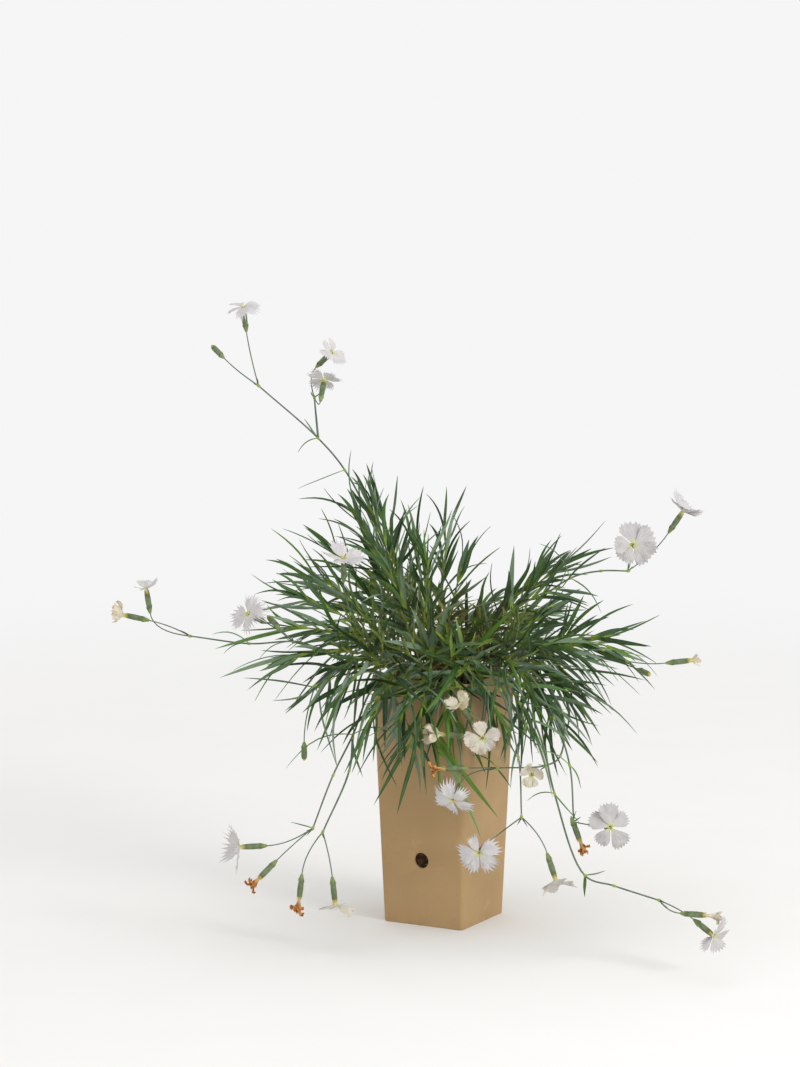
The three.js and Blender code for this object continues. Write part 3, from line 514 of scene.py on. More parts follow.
def colour(code):
    """A hex colour as the linear numbers that a shader takes."""
    shares = [int(code[start:start + 2], 16) / 255 for start in (1, 3, 5)]
    return [s / 12.92 if s <= 0.04045 else ((s + 0.055) / 1.055) ** 2.4 for s in shares] + [1]


class Finish:
    """A node material, put together one node at a time."""

    def __init__(self, name, **sockets):
        self.material = bpy.data.materials.new(name)
        self.material.use_nodes = True
        self.tree = self.material.node_tree
        self.surface = self.tree.nodes["Principled BSDF"]
        for socket, value in sockets.items():
            self.surface.inputs[socket.replace("_", " ")].default_value = value

    def node(self, kind, inputs=(), output=0, **settings):
        made = self.tree.nodes.new("ShaderNode" + kind)
        for name, value in settings.items():
            setattr(made, name, value)
        for key, value in dict(inputs).items():
            if isinstance(value, bpy.types.NodeSocket):
                self.tree.links.new(value, made.inputs[key])
            else:
                made.inputs[key].default_value = value
        return made.outputs[output]

    def spot(self):
        return self.node("TexCoord", output="Object")

    def value(self, name):
        return self.node("Attribute", output="Fac", attribute_name=name)

    def math(self, operation, *numbers):
        return self.node("Math", dict(enumerate(numbers)), operation=operation)

    def times(self, first, second):
        return self.math("MULTIPLY", first, second)

    def waves(self, value, rate):
        return self.math("SINE", self.times(value, rate))

    def range(self, value, low, high, to_low=0.0, to_high=1.0):
        inputs = {"Value": value, "From Min": low, "From Max": high, "To Min": to_low, "To Max": to_high}
        return self.node("MapRange", inputs, interpolation_type="SMOOTHSTEP")

    def noise(self, scale, detail, stretch=(1, 1, 1), roughness=0.5):
        mapped = self.node("Mapping", {"Vector": self.spot(), "Scale": stretch})
        inputs = {"Vector": mapped, "Scale": scale, "Detail": detail, "Roughness": roughness}
        return self.node("TexNoise", inputs, output="Fac")

    def patches(self, scale, detail, low, high, to_low=0.0, to_high=1.0, **options):
        return self.range(self.noise(scale, detail, **options), low, high, to_low, to_high)

    def mix(self, factor, first, second):
        first, second = (colour(c) if isinstance(c, str) else c for c in (first, second))
        return self.node("Mix", {0: factor, 6: first, 7: second}, output=2, data_type="RGBA")

    def layers(self, base, *layers):
        """The base with each (factor, colour) laid over what comes before it."""
        for factor, over in layers:
            base = self.mix(factor, base, over)
        return base

    def ramp(self, value, *stops):
        socket = self.node("ValToRGB", {"Fac": value})
        elements = socket.node.color_ramp.elements
        while len(elements) < len(stops):
            elements.new(0.5)
        for element, (position, code) in zip(elements, stops):
            element.position = position
            element.color = colour(code)
        return socket

    def bump(self, height, strength, distance_mm):
        inputs = {"Height": height, "Strength": strength, "Distance": distance_mm * MM}
        self.tree.links.new(self.node("Bump", inputs), self.surface.inputs["Normal"])

    def done(self, base, roughness=None):
        self.tree.links.new(base, self.surface.inputs["Base Color"])
        if roughness is not None:
            self.tree.links.new(roughness, self.surface.inputs["Roughness"])
        return self.material


def leaf_finish(name, dark, middle, light):
    """Waxy blade: fine veins along it, a pale midrib, a yellow-green foot, and straw when it is dead."""
    finish = Finish(name, Roughness=0.5, Specular_IOR_Level=0.12)
    along, across, tone = (finish.value(value) for value in ("along", "across", "tone"))
    patch = finish.patches(130, 2, 0.35, 0.7)
    straw = finish.mix(finish.patches(700, 2, 0.4, 0.65), "#c2b062", "#836a3a")
    base = finish.layers(
        finish.ramp(tone, (0.0, dark), (0.5, middle), (1.0, light)),
        (finish.times(patch, 0.14), "#748a63"),
        (finish.times(finish.value("wax"), 0.95), "#9aad98"),
        (finish.times(finish.value("under"), 0.22), "#667f58"),  # underside
        (finish.range(finish.math("ABSOLUTE", across), 0.0, 0.16, 0.25, 0.0), "#809a66"),  # midrib
        (finish.range(along, 0.02, 0.24, 0.85, 0.0), "#96b03c"),  # foot
        (finish.times(finish.range(along, 0.93, 1.0), tone), "#a99a5c"),  # tip
        (finish.value("age"), straw),
    )
    finish.bump(finish.math("ADD", finish.waves(across, 22.0), finish.noise(900, 2)), 0.35, 0.12)
    return finish.done(base, finish.range(patch, 0.0, 1.0, 0.42, 0.6))


def stem_finish():
    """Smooth waxy stem, yellow-green at its joints, which "along" marks, and woody with age."""
    finish = Finish("stem_skin", Roughness=0.5, Specular_IOR_Level=0.4)
    patch = finish.patches(160, 3, 0.35, 0.68, stretch=(1, 1, 0.3))
    base = finish.layers(
        finish.mix(patch, "#647562", "#4d5f4a"),
        (finish.value("along"), finish.mix(patch, "#93a348", "#7b8d3a")),
        (finish.value("age"), finish.mix(finish.patches(500, 3, 0.4, 0.6), "#a39552", "#6e5130")),
    )
    finish.bump(finish.noise(700, 2, (1, 1, 0.2)), 0.25, 0.1)
    return finish.done(base)


def calyx_finish():
    """Ribbed green tube with a yellow band below its pale teeth; "across" runs round it."""
    finish = Finish("calyx_skin", Roughness=0.52, Specular_IOR_Level=0.4)
    along = finish.value("along")
    rib = finish.waves(finish.value("across"), 25 * pi)
    base = finish.layers(
        finish.mix(finish.range(rib, -0.4, 0.8), "#485a36", "#72835c"),
        (finish.patches(220, 2, 0.35, 0.7, 0.0, 0.5), "#899873"),
        (finish.range(along, 0.1, 0.32, 0.6, 0.0), "#8b9a50"),
        (finish.range(along, 0.66, 0.84, 0.0, 0.55), "#5c5a2c"),
        (finish.range(along, 0.84, 0.93), "#b3a33c"),
        (finish.range(along, 0.95, 1.0, 0.0, 0.8), "#d3cb93"),
        (finish.value("age"), "#b98a4a"),
    )
    finish.bump(rib, 0.4, 0.15)
    return finish.done(base)


def petal_finish():
    """White petal with a green-yellow throat; "age" takes it to cream with brown edges and to brown."""
    finish = Finish("petal_skin", Roughness=0.65, Specular_IOR_Level=0.25)
    along, across, age = (finish.value(value) for value in ("along", "across", "age"))
    cloud = finish.patches(140, 2, 0.35, 0.7)
    vein_wave = finish.waves(across, 42.0)
    vein = finish.times(finish.range(vein_wave, 0.2, 1.0), 0.35)
    worn_edge = finish.times(finish.range(along, 0.72, 0.95), finish.patches(300, 2, 0.46, 0.68))
    cream = finish.layers(
        finish.mix(cloud, "#e0d9c3", "#d6cdae"),
        (finish.patches(230, 2, 0.5, 0.7, 0.0, 0.4), "#cfb9a4"),
        (worn_edge, "#b97f45"),
    )
    brown = finish.layers(
        finish.mix(finish.patches(420, 3, 0.38, 0.62), "#cf9450", "#8c4a1c"),
        (finish.range(along, 0.3, 0.62, 0.75, 0.0), "#d3c48e"),
    )
    throat = finish.times(finish.range(along, 0.1, 0.44, 1.0, 0.0), finish.range(age, 0.5, 1.0, 0.85, 0.3))
    base = finish.layers(
        finish.mix(cloud, "#d0cecc", "#c4c0c2"),
        (vein, "#aca5a9"),
        (finish.range(age, 0.0, 0.45), cream),
        (finish.range(age, 0.6, 0.85), brown),
        # painted shade: greys the flowers that meet the light squarely
        (finish.times(finish.value("tone"), 0.4), "#6f6b68"),
        (throat, "#c9cd7e"),
    )
    finish.bump(finish.math("ADD", vein_wave, finish.noise(500, 2)), 0.2, 0.12)
    return finish.done(base)


def stamen_finish():
    finish = Finish("stamen_skin", Roughness=0.6)
    return finish.done(finish.mix(finish.noise(800, 2), "#f3efdc", "#c9c26a"))


def pot_finish():
    """Matt tan moulded plastic: soft blotches, streaks, a few specks and scuffs, and darker patches towards
    the foot.
    """
    finish = Finish("pot_plastic", Roughness=0.7, Specular_IOR_Level=0.35)
    blotch = finish.patches(14, 4, 0.3, 0.72)
    height = finish.node("SeparateXYZ", {0: finish.spot()}, output="Z")
    near_foot = finish.range(height, 0.0, 0.012, 0.25, 0.0)
    base = finish.layers(
        finish.mix(blotch, "#a3865c", "#af9167"),
        (finish.patches(26, 3, 0.52, 0.75, 0.0, 0.35, stretch=(1, 1, 0.12)), "#a3845f"),
        (finish.patches(420, 2, 0.69, 0.76, 0.0, 0.5), "#7b5f41"),
        (finish.patches(60, 5, 0.62, 0.8, 0.0, 0.3), "#cbb08a"),
        # darker in patches within the lowest 12 mm of the pot
        (finish.times(near_foot, finish.patches(90, 4, 0.4, 0.7)), "#8d7150"),
    )
    finish.bump(finish.math("ADD", finish.noise(900, 3), finish.noise(60, 2)), 0.12, 0.25)
    return finish.done(base, finish.range(blotch, 0.0, 1.0, 0.62, 0.78))


def soil_finish():
    finish = Finish("compost", Roughness=0.95, Specular_IOR_Level=0.2)
    base = finish.layers(
        finish.mix(finish.patches(180, 5, 0.35, 0.68, roughness=0.7), "#23170f", "#4b3626"),
        (finish.patches(520, 2, 0.62, 0.7, stretch=(1, 0.3, 1)), "#8a6a48"),
    )
    finish.bump(finish.noise(400, 5, roughness=0.7), 0.9, 1.0)
    return finish.done(base)


LEAF_FINISHES = [
    leaf_finish("leaf_glaucous_skin", "#172f12", "#375630", "#638e28"),
    leaf_finish("leaf_green_skin", "#18360b", "#375d1d", "#76a022"),
    leaf_finish("leaf_dark_skin", "#122b0a", "#2b4923", "#578125"),
]
STEM = stem_finish()
CALYX = calyx_finish()
PETAL = petal_finish()
STAMEN = stamen_finish()


# ---------------------------------------------------------------- pot and soil

POT_CORNER_STEPS = 10
POT_EDGE_ROUNDING = 0.3
SOIL_SIDE_DENTS = 1.6
SOIL_TOP_LUMPS = 1.7
SOIL_MIDDLE = 100
CRUMBS = 420
CRUMB_MARGIN = 3
CRUMB_SEED = 77


def pot_outline(inset, height, steps):
    """The pot's outline at a height, moved in from its outside; its corners are sharper at the foot."""
    corner_radius = mix_numbers(POT_BOTTOM_CORNER, POT_TOP_CORNER, height / POT_HEIGHT) - inset
    half_width = pot_half_width(height) - inset
    angles = [pi / 2 * (corner + step / steps) for corner in range(4) for step in range(steps + 1)]
    corner_of = [corner for corner in range(4) for _ in range(steps + 1)]
    reach = half_width - corner_radius
    centres = [place([reach * x, reach * y, height]) for x, y in ((1, 1), (-1, 1), (-1, -1), (1, -1))]
    return np.array([
        centres[corner] + corner_radius * place([cos(angle), sin(angle), 0])
        for corner, angle in zip(corner_of, angles)
    ])


def cutter(radius, length, axis, centre):
    """A round tool for cutting a hole, as an object that is removed after the cut."""
    x, y = place([1, 0, 0]), place([0, 1, 0])
    side, across = {"X": (UP, y), "Y": (x, UP), "Z": (x, y)}[axis]
    along = np.cross(side, across)
    skin = Skin()
    ends = [(place(centre) + along * length * share, along, side, across) for share in (-0.5, 0.5)]
    skin.add_rings([ring_around(end, radius, 40) for end in ends])
    return put("cutter", mesh_of("cutter", np.concatenate(skin.corners), np.concatenate(skin.triangles)))


def build_pot():
    skin = Skin()
    levels = [(POT_FOOT_BEVEL, 0)]
    levels += [(0, mix_numbers(POT_FOOT_BEVEL, POT_HEIGHT, share / 12)) for share in range(13)]
    levels += [(POT_WALL, height) for height in (POT_HEIGHT, POT_HEIGHT / 2, POT_FLOOR)]
    skin.add_rings([pot_outline(inset, height, POT_CORNER_STEPS) for inset, height in levels])
    pot = skin.piece("pot_shell", [pot_finish()], ["pot"], turn=False)
    tools = [cutter(SIDE_HOLE_RADIUS, POT_TOP_WIDTH * 1.5, axis, [0, 0, SIDE_HOLE_HEIGHT]) for axis in "XY"]
    tools += [cutter(DRAIN_HOLE_RADIUS, POT_FLOOR * 3, "Z", [x * DRAIN_HOLE_OFFSET, y * DRAIN_HOLE_OFFSET, 0])
              for x in (-1, 1) for y in (-1, 1)]
    for tool in tools:
        cut = pot.modifiers.new("hole", "BOOLEAN")
        cut.object = tool
        cut.operation = "DIFFERENCE"
        cut.solver = "EXACT"
    edge = pot.modifiers.new("edge", "BEVEL")
    edge.width = POT_EDGE_ROUNDING * MM
    edge.segments = 2
    edge.limit_method = "ANGLE"
    edge.angle_limit = radians(50)
    ready = pot.evaluated_get(bpy.context.evaluated_depsgraph_get())
    pot.data = bpy.data.meshes.new_from_object(ready)
    pot.modifiers.clear()
    pot.data.shade_smooth()
    pot.data.set_sharp_from_angle(angle=radians(40))
    for tool in tools:
        bpy.data.objects.remove(tool)


def build_soil():
    """Compost filling the pot: a lumpy top, rough sides that show in the holes, and loose crumbs."""
    skin = Skin()
    inside = POT_WALL + GAP

    def lumps(ring):
        return np.array([noise.fractal(Vector(point * 0.16), 0.9, 2.0, 4) for point in ring])

    sides = [pot_outline(inside, height, 8) for height in np.linspace(POT_FLOOR + GAP, SOIL_TOP, 40)]
    rings = sides[:1]
    for ring in sides[1:-1]:
        dents = np.abs(lumps(ring)) * SOIL_SIDE_DENTS / pot_half_width(SOIL_MIDDLE)
        rings.append(ring * (1 - np.outer(dents, [1, 1, 0])))
    for share in np.linspace(1, 0.04, 26):
        ring = sides[-1] * place([share, share, 1]) - UP * 0.8
        rings.append(ring + np.outer(np.clip(lumps(ring), -1, 1) * SOIL_TOP_LUMPS, UP))
    skin.add_rings(rings)
    draw = seeded_draws(CRUMB_SEED)
    reach = pot_half_width(SOIL_TOP) - inside - CRUMB_MARGIN
    ball = [place(v) for v in ((1, 0, 0), (-1, 0, 0), (0, 1, 0), (0, -1, 0), (0, 0, 1), (0, 0, -1))]
    faces = [(0, 2, 4), (2, 1, 4), (1, 3, 4), (3, 0, 4), (2, 0, 5), (1, 2, 5), (3, 1, 5), (0, 3, 5)]
    for _ in range(CRUMBS):
        spot = place([(2 * draw() - 1) * reach, (2 * draw() - 1) * reach, SOIL_TOP - 0.9 + 1.2 * draw()])
        size = place([0.5 + 1.4 * draw() ** 2, 0.5 + draw(), 0.4 + 0.5 * draw()])
        spin = 2 * pi * draw()
        crumb = np.array([v * (0.75 + 0.5 * draw()) for v in ball]) * size
        cosine, sine = cos(spin), sin(spin)
        crumb = crumb @ np.array([[cosine, sine, 0], [-sine, cosine, 0], [0, 0, 1]])
        skin.add(crumb + spot, faces)
    skin.piece("compost_fill", [soil_finish()], ["soil"], sharp=80, turn=False)


# ---------------------------------------------------------------- leaves

# Where along a blade its rows of corners lie, and where it is broadest
LEAF_ROWS = np.array([0, 0.05, 0.12, 0.22, 0.34, 0.47, 0.6, 0.73, 0.85, 0.94, 1])
LEAF_BROADEST = 0.42
LEAF_THICKNESS = 0.3
# Across a blade: how far from its middle to its edge, and how far down through its thickness
LEAF_SECTION = [(1, 0), (0.5, 0), (0, 0), (-0.5, 0), (-1, 0), (-0.6, 1), (0, 1.5), (0.6, 1)]


def leaf_line(foot, bend, tip, share):
    """A point on the smooth line through a leaf's foot, bend and tip."""
    at_foot = (share - LEAF_WIDEST) * (share - 1) / LEAF_WIDEST
    at_bend = share * (share - 1) / (LEAF_WIDEST * (LEAF_WIDEST - 1))
    at_tip = share * (share - LEAF_WIDEST) / (1 - LEAF_WIDEST)
    return foot * at_foot + bend * at_bend + tip * at_tip


def add_leaf(skin, foot, bend, tip, wide, width, draw, age=0.0, finish=0, young=0.0):
    """A channelled, tapering blade that bows and twists a little about its line."""
    length = distance(foot, tip)
    bow_by = (draw() - 0.5) * 0.2 * length
    sway_by = (draw() - 0.5) * 0.06 * length
    twist = (draw() - 0.5) * (1.0 + age)
    tone = young + (1 - young) * draw() * 0.7
    wax = (1 - young) * draw() ** 3.5
    fold = 0.2 + 0.35 * draw()
    upper = np.cross(unit(tip - foot), wide)
    points = [
        leaf_line(foot, bend, tip, t) + upper * bow_by * sin(pi * t)
        + wide * sway_by * sin(2 * pi * t) * (1 - 0.5 * t)
        for t in LEAF_ROWS
    ]
    corners, along, across, under = [], [], [], []
    for row, t in enumerate(LEAF_ROWS[:-1]):
        heading = unit(points[row + 1] - points[max(row - 1, 0)])
        flat = square_to(wide, heading)
        flat = between(flat, np.cross(heading, flat), twist * t)
        above = np.cross(heading, flat)
        broad = min(t / LEAF_BROADEST, 1)
        taper = max(t - LEAF_BROADEST, 0) / (1 - LEAF_BROADEST)
        half = width / 2 * (0.5 + 0.5 * broad * (2 - broad)) * (1 - taper ** 1.9)
        for u, depth in LEAF_SECTION:
            rise = fold * abs(u) * half - depth * LEAF_THICKNESS * (1 - 0.5 * t)
            corners.append(points[row] + flat * (u * half) + above * rise)
            along.append(t)
            across.append(u)
            under.append(min(depth, 1))
    triangles = tube_triangles(len(LEAF_ROWS) - 1, len(LEAF_SECTION))
    skin.add(corners + [points[0], points[-1]], triangles, finish, along=along + [0, 1],
             across=across + [0, 0], under=under + [0, 0], tone=tone, age=age, wax=wax)


def add_straight_leaf(skin, foot, tip, width, arch, draw, **options):
    """A leaf from its foot to its tip through one bend, as the flower stems carry."""
    along = tip - foot
    bend = foot + along * LEAF_WIDEST + UP * (arch * distance(foot, tip))
    add_leaf(skin, foot, bend, tip, unit(np.cross(along, UP)), width, draw, **options)
    return [foot, bend, tip]


# ---------------------------------------------------------------- flower stems

STEM_DIVISIONS = 1.25
FINE_STEM_DIVISIONS = 10
STEM_RADII = (1.0, 0.62)
PEDICEL_RADII = (0.52, 0.44)
BRACT_WIDTH = 1.7
# A knot's rings: how far along the stem, and their radius
KNOT = [(-2.2, 0.55), (-1.5, 0.85), (-0.6, 1.15), (0.4, 1.2), (1.3, 0.95), (2.1, 0.5)]
# A calyx's rings from its foot: how far along it, how wide, and how deep its five teeth cut into it
CALYX_TUBE = [
    (0, 0.3, 0), (0.03, 0.45, 0), (0.08, 0.6, 0), (0.2, 0.78, 0),
    (0.4, 0.95, 0), (0.6, 1.0, 0), (0.8, 0.93, 0),
]
BUD_TIP = [(0.88, 0.78, 0), (0.94, 0.52, 0), (1.0, 0.2, 0)]
CALYX_MOUTH = [(0.9, 0.87, 0.03), (1.0, 0.84, 0.14), (0.98, 0.73, 0.13), (0.8, 0.75, 0), (0.72, 0.74, 0)]
CALYX_SIDES = 20
CALYX_SCALES = 4
SCALE_THICKNESS = 0.18


def add_knot(skin, point, direction, size):
    """The swollen joint where stems fork and leaves grow."""
    points = [point + direction * offset for offset, _ in KNOT]
    add_rod(skin, points, [radius * size for _, radius in KNOT], 10, along=1.0)


def add_calyx(skin, head_frame, length, is_bud, draw):
    """A ribbed tube with five teeth, closed over the petals on a bud, and scales round its foot."""
    mouth, axis, side, across = head_frame
    angles = np.arange(CALYX_SIDES) * 2 * pi / CALYX_SIDES
    out = np.cos(angles)[:, None] * side + np.sin(angles)[:, None] * across
    tooth = np.abs((np.arange(CALYX_SIDES) % 4) - 2) / 2
    profile = CALYX_TUBE + (BUD_TIP if is_bud else CALYX_MOUTH)
    rings = [
        mouth + axis * (length * (share - 1 - tooth * cut)[:, None]) + out * (CALYX_RADIUS * size)
        for share, size, cut in profile
    ]
    along = np.repeat([[share] for share, _, _ in profile], CALYX_SIDES, axis=1)
    skin.add_rings(rings, 1, along=along, across=np.tile(angles / pi, (len(rings), 1)))
    for scale in range(CALYX_SCALES):
        turn = scale * 2 * pi / CALYX_SCALES + 0.3 * draw()
        add_scale(skin, head_frame, length, turn, 0.28 + 0.08 * draw(), draw)


def add_scale(skin, head_frame, length, turn, height, draw):
    """One pointed scale that hugs the calyx's foot."""
    mouth, axis, side, across = head_frame
    rows, columns = 6, 5
    grid = np.zeros((rows, columns, 3))
    flare = 0.15 + 0.2 * draw()
    for row in range(rows):
        share = row / (rows - 1)
        radius = CALYX_RADIUS * (0.32 + 0.54 * min(share * 1.4, 1)) + 0.2 + flare * share ** 3
        spread = 0.95 * (1 - share ** 2.2)
        for column in range(columns):
            u = column / (columns - 1) * 2 - 1
            angle = turn + u * spread
            out = side * cos(angle) + across * sin(angle)
            grid[row, column] = mouth + axis * (length * (height * share - 0.99)) + out * radius
    along = np.repeat(np.linspace(0.02, 0.3, rows), columns)
    skin.add_sheet(grid[:, ::-1], SCALE_THICKNESS, 1, along=along)


def head_of(kind, fork, mouth, facing):
    """The pedicel's path, the calyx's frame at its mouth, and the calyx's ends, as in the CAD."""
    axis = unit(place(facing))
    mouth = place(mouth)
    length = BUD_LENGTH if kind == "bud" else CALYX_LENGTH
    base = mouth - axis * length
    bend = base - axis * (0.45 * distance(base, fork))
    path = [fork, bezier(fork, bend, base, 0.5), base]
    stations = [base + axis * offset for offset in (1, 0.55 * length, length)]
    head_frame = frames_along(path + stations)[-1]
    smooth = [bezier(fork, bend, base, share) for share in np.linspace(0, 1, 9)]
    return path, smooth, head_frame, length, [base, mouth]


def build_flower_stem(name, root, routes, leaves, heads, lines):
    """A flower stem with its branches, leaves, knots, calyxes and buds, and the blooms on it."""
    skin = Skin()
    draw = seeded_draws(500 + len(name) * 13 + int(abs(root[0]) * 7 + abs(root[1])))
    routes = [[place(point) for point in route] for route in routes]
    points = [point for route in routes for point in route]
    for index, route in enumerate(routes):
        is_main = index == 0
        start = [place([*root, height]) for height in (SOIL_TOP + 1, STEM_RISE)] if is_main else []
        through = start + route
        legs = len(through) - 1
        lines.remember(smooth_path(through, ceil(legs * STEM_DIVISIONS)), STEM_RADIUS)
        fine = smooth_path(through, legs * FINE_STEM_DIVISIONS)
        if is_main:
            fine = [place([*root, SOIL_TOP - ROOT_DEPTH]), *fine]
        age = np.clip(np.linspace(0.9, -2.5, len(fine)), 0, 1) if is_main else 0.0
        add_rod(skin, fine, np.linspace(*STEM_RADII, len(fine)), along=0.0, age=age)
        for point in route[:-1] if len(route) > 2 else []:
            nearest = min(range(1, len(fine) - 1), key=lambda i: distance(fine[i], point))
            add_knot(skin, fine[nearest], unit(fine[nearest + 1] - fine[nearest - 1]), 0.95)
        add_knot(skin, fine[-1], unit(fine[-1] - fine[-2]), 1.05)
    for at, tip in leaves:
        line = add_straight_leaf(skin, points[at], place(tip), STEM_LEAF_WIDTH * 0.85, 0.07, draw, finish=2)
        lines.remember(line, STEM_LEAF_WIDTH / 2)
    forks = {}
    for number, kind, radius, at, mouth, facing in heads:
        path, smooth, head_frame, length, calyx = head_of(kind, points[at], mouth, facing)
        add_rod(skin, smooth, np.linspace(*PEDICEL_RADII, len(smooth)))
        add_calyx(skin, head_frame, length, kind == "bud", draw)
        forks.setdefault(tuple(points[at]), []).append(unit(smooth[3] - smooth[0]))
        lines.remember(path, PEDICEL_RADIUS)
        lines.remember(calyx, CALYX_RADIUS + 0.2)
        if kind != "bud":
            build_bloom(number, kind, radius, head_frame, lines)
    for fork, directions in forks.items():
        heading = unit(sum(directions))
        sideways = unit(np.cross(heading, place([0.3, 0.5, 0.81])))
        for way in (-1, 1):
            reach = between(heading, sideways * way, 0.5 + 0.2 * draw()) * (6 + 4 * draw())
            add_straight_leaf(skin, place(fork), place(fork) + reach, BRACT_WIDTH, 0.02, draw, finish=2)
    finishes = [STEM, CALYX, LEAF_FINISHES[1]]
    skin.piece(f"stem_{name}", finishes, [f"flower_stem_{name}"])


# ---------------------------------------------------------------- blooms

TEETH = 9
# A tooth of the fringe: places across it, and how far each stands out
TOOTH = [(0.0, -0.35), (0.27, 0.15), (0.5, 0.3), (0.73, 0.15)]
# A bloom's petals: how far they stand up from flat, how much more so towards their ends, their
# half-angle, size, depth of fringe, crumpling and age, the last five where they aren't their kind's
PETAL_SHAPES = {
    1: (0.2, -0.55), 3: (0.15, -0.1, 0.62, 1.0, 0.14), 4: (0.1, -0.2, 0.68),
    5: (0.12, 0.05, 0.72, 1.12, 0.17), 6: (0.25, -0.3, 0.74, 1.05, 0.27), 7: (0.45, 0.0, 0.6, 1.0, 0.14),
    8: (0.7, 0.2, 0.75, 1.25, 0.06, 0.22, 0.4), 9: (0.15, -0.1, 0.8, 1.02, 0.09, 0.09),
    10: (0.5, 0.0, 0.72, 1.05, 0.15), 11: (0.9, 0.3), 12: (0.35, -0.05, 0.7, 1.05, 0.26),
    15: (0.22, 0.0, 0.75, 1.1, 0.08, 0.08, 0.2), 17: (0.4, 0.1, 0.78, 1.4, 0.06, 0.14, 0.36),
    18: (0.6, 0.7, 0.85, 1.3, 0.08, 0.3, 0.4), 19: (0.3, -0.1, 0.74, 0.98, 0.06, 0.2, 0.16),
    21: (0.15, -0.45, 0.66, 1.06, 0.22, 0.08), 22: (0.2, -0.4, 0.66, 1.04, 0.2, 0.08),
    23: (0.4, 0.1, 0.8, 1.1, 0.06, 0.16, 0.24), 24: (0.65, -0.3, 0.75, 1.42, 0.06, 0.1, 0.14),
    25: (0.05, -0.15, 0.6, 1.04, 0.09, 0.09), 28: (0.35, -0.2, 0.68, 1.05, 0.13),
}
USUAL_SHAPES = {"open": (0.1, 0.1, 0.66, 1.0, 0.2, 0.05, 0.0), "aged": (0.1, 0.1, 0.7, 1.05, 0.06, 0.3, 0.3)}
# What a kind's petals have in common, and what varies: its value where the shape has none, the span
# of its draws, and the draw that changes nothing; sizes are shares of the shape's
PETALS_ALIKE = {
    "open": {"waist": 0.06, "pleat": 0.012},
    "aged": {"waist": 0.2, "pleat": 0.02, "edge": 0.98, "round": 0.5},
}
PETALS_VARY = {
    "open": {
        "angle": (0, 0.5, 0.5), "half_angle": (0, 0.2, 0.5), "rise": (0, 0.36, 0.5), "curl": (0, 0.5, 0.5),
        "tilt": (0.1, 0.2, 0), "fold": (0, 0.6, 0.5), "size": (0.86, 0.26, 0), "round": (0.4, 0.24, 0),
        "age": (0, 0.05, 0),
    },
    "aged": {
        "angle": (0, 0.6, 0.5), "half_angle": (0, 0.2, 0.5), "rise": (0, 0.5, 0.4), "curl": (0, 0.6, 0.5),
        "tilt": (0.15, 0.3, 0), "fold": (0, 0.9, 0.4), "size": (0.82, 0.3, 0), "age": (0, 0.14, 0),
    },
}
SHRED_AGES = {27: 0.42}
# The blooms seen from the side in the photo with one petal towards it
PETAL_TO_FRONT = {12, 15, 24}
# How far the flowers that meet the light squarely are greyed: painted shade that darkens their white
PETAL_PAINTED_SHADE = {9: 0.5, 10: 0.15, 19: 0.55, 22: 0.15, 23: 0.45, 24: 0.35, 25: 0.7, 28: 0.5}
# A petal's claw: how far out and how high, from inside the calyx to the foot of the blade
CLAW = [(0.75, -7.0), (0.95, -2.5), (1.25, 0.2), (1.7, 1.15)]
CLAW_HALF_WIDTH = 0.75
# Where along the blade its rows lie
BLADE_ROWS = [0.1, 0.22, 0.36, 0.5, 0.64, 0.77, 0.89, 1.0]
# What grows in a bloom's mouth, and how far below its edge
THROAT_PARTS = 8
THROAT_DEPTH = 3
SHREDS = 11
SHRED_THICKNESS = 0.3


def crumpled(x, y, seed):
    """Smooth noise over a petal, about from -1 to 1."""
    coarse = noise.noise(Vector((x * 0.21, y * 0.21, seed)))
    return coarse + 0.5 * noise.noise(Vector((x * 0.55, y * 0.55, seed + 9)))


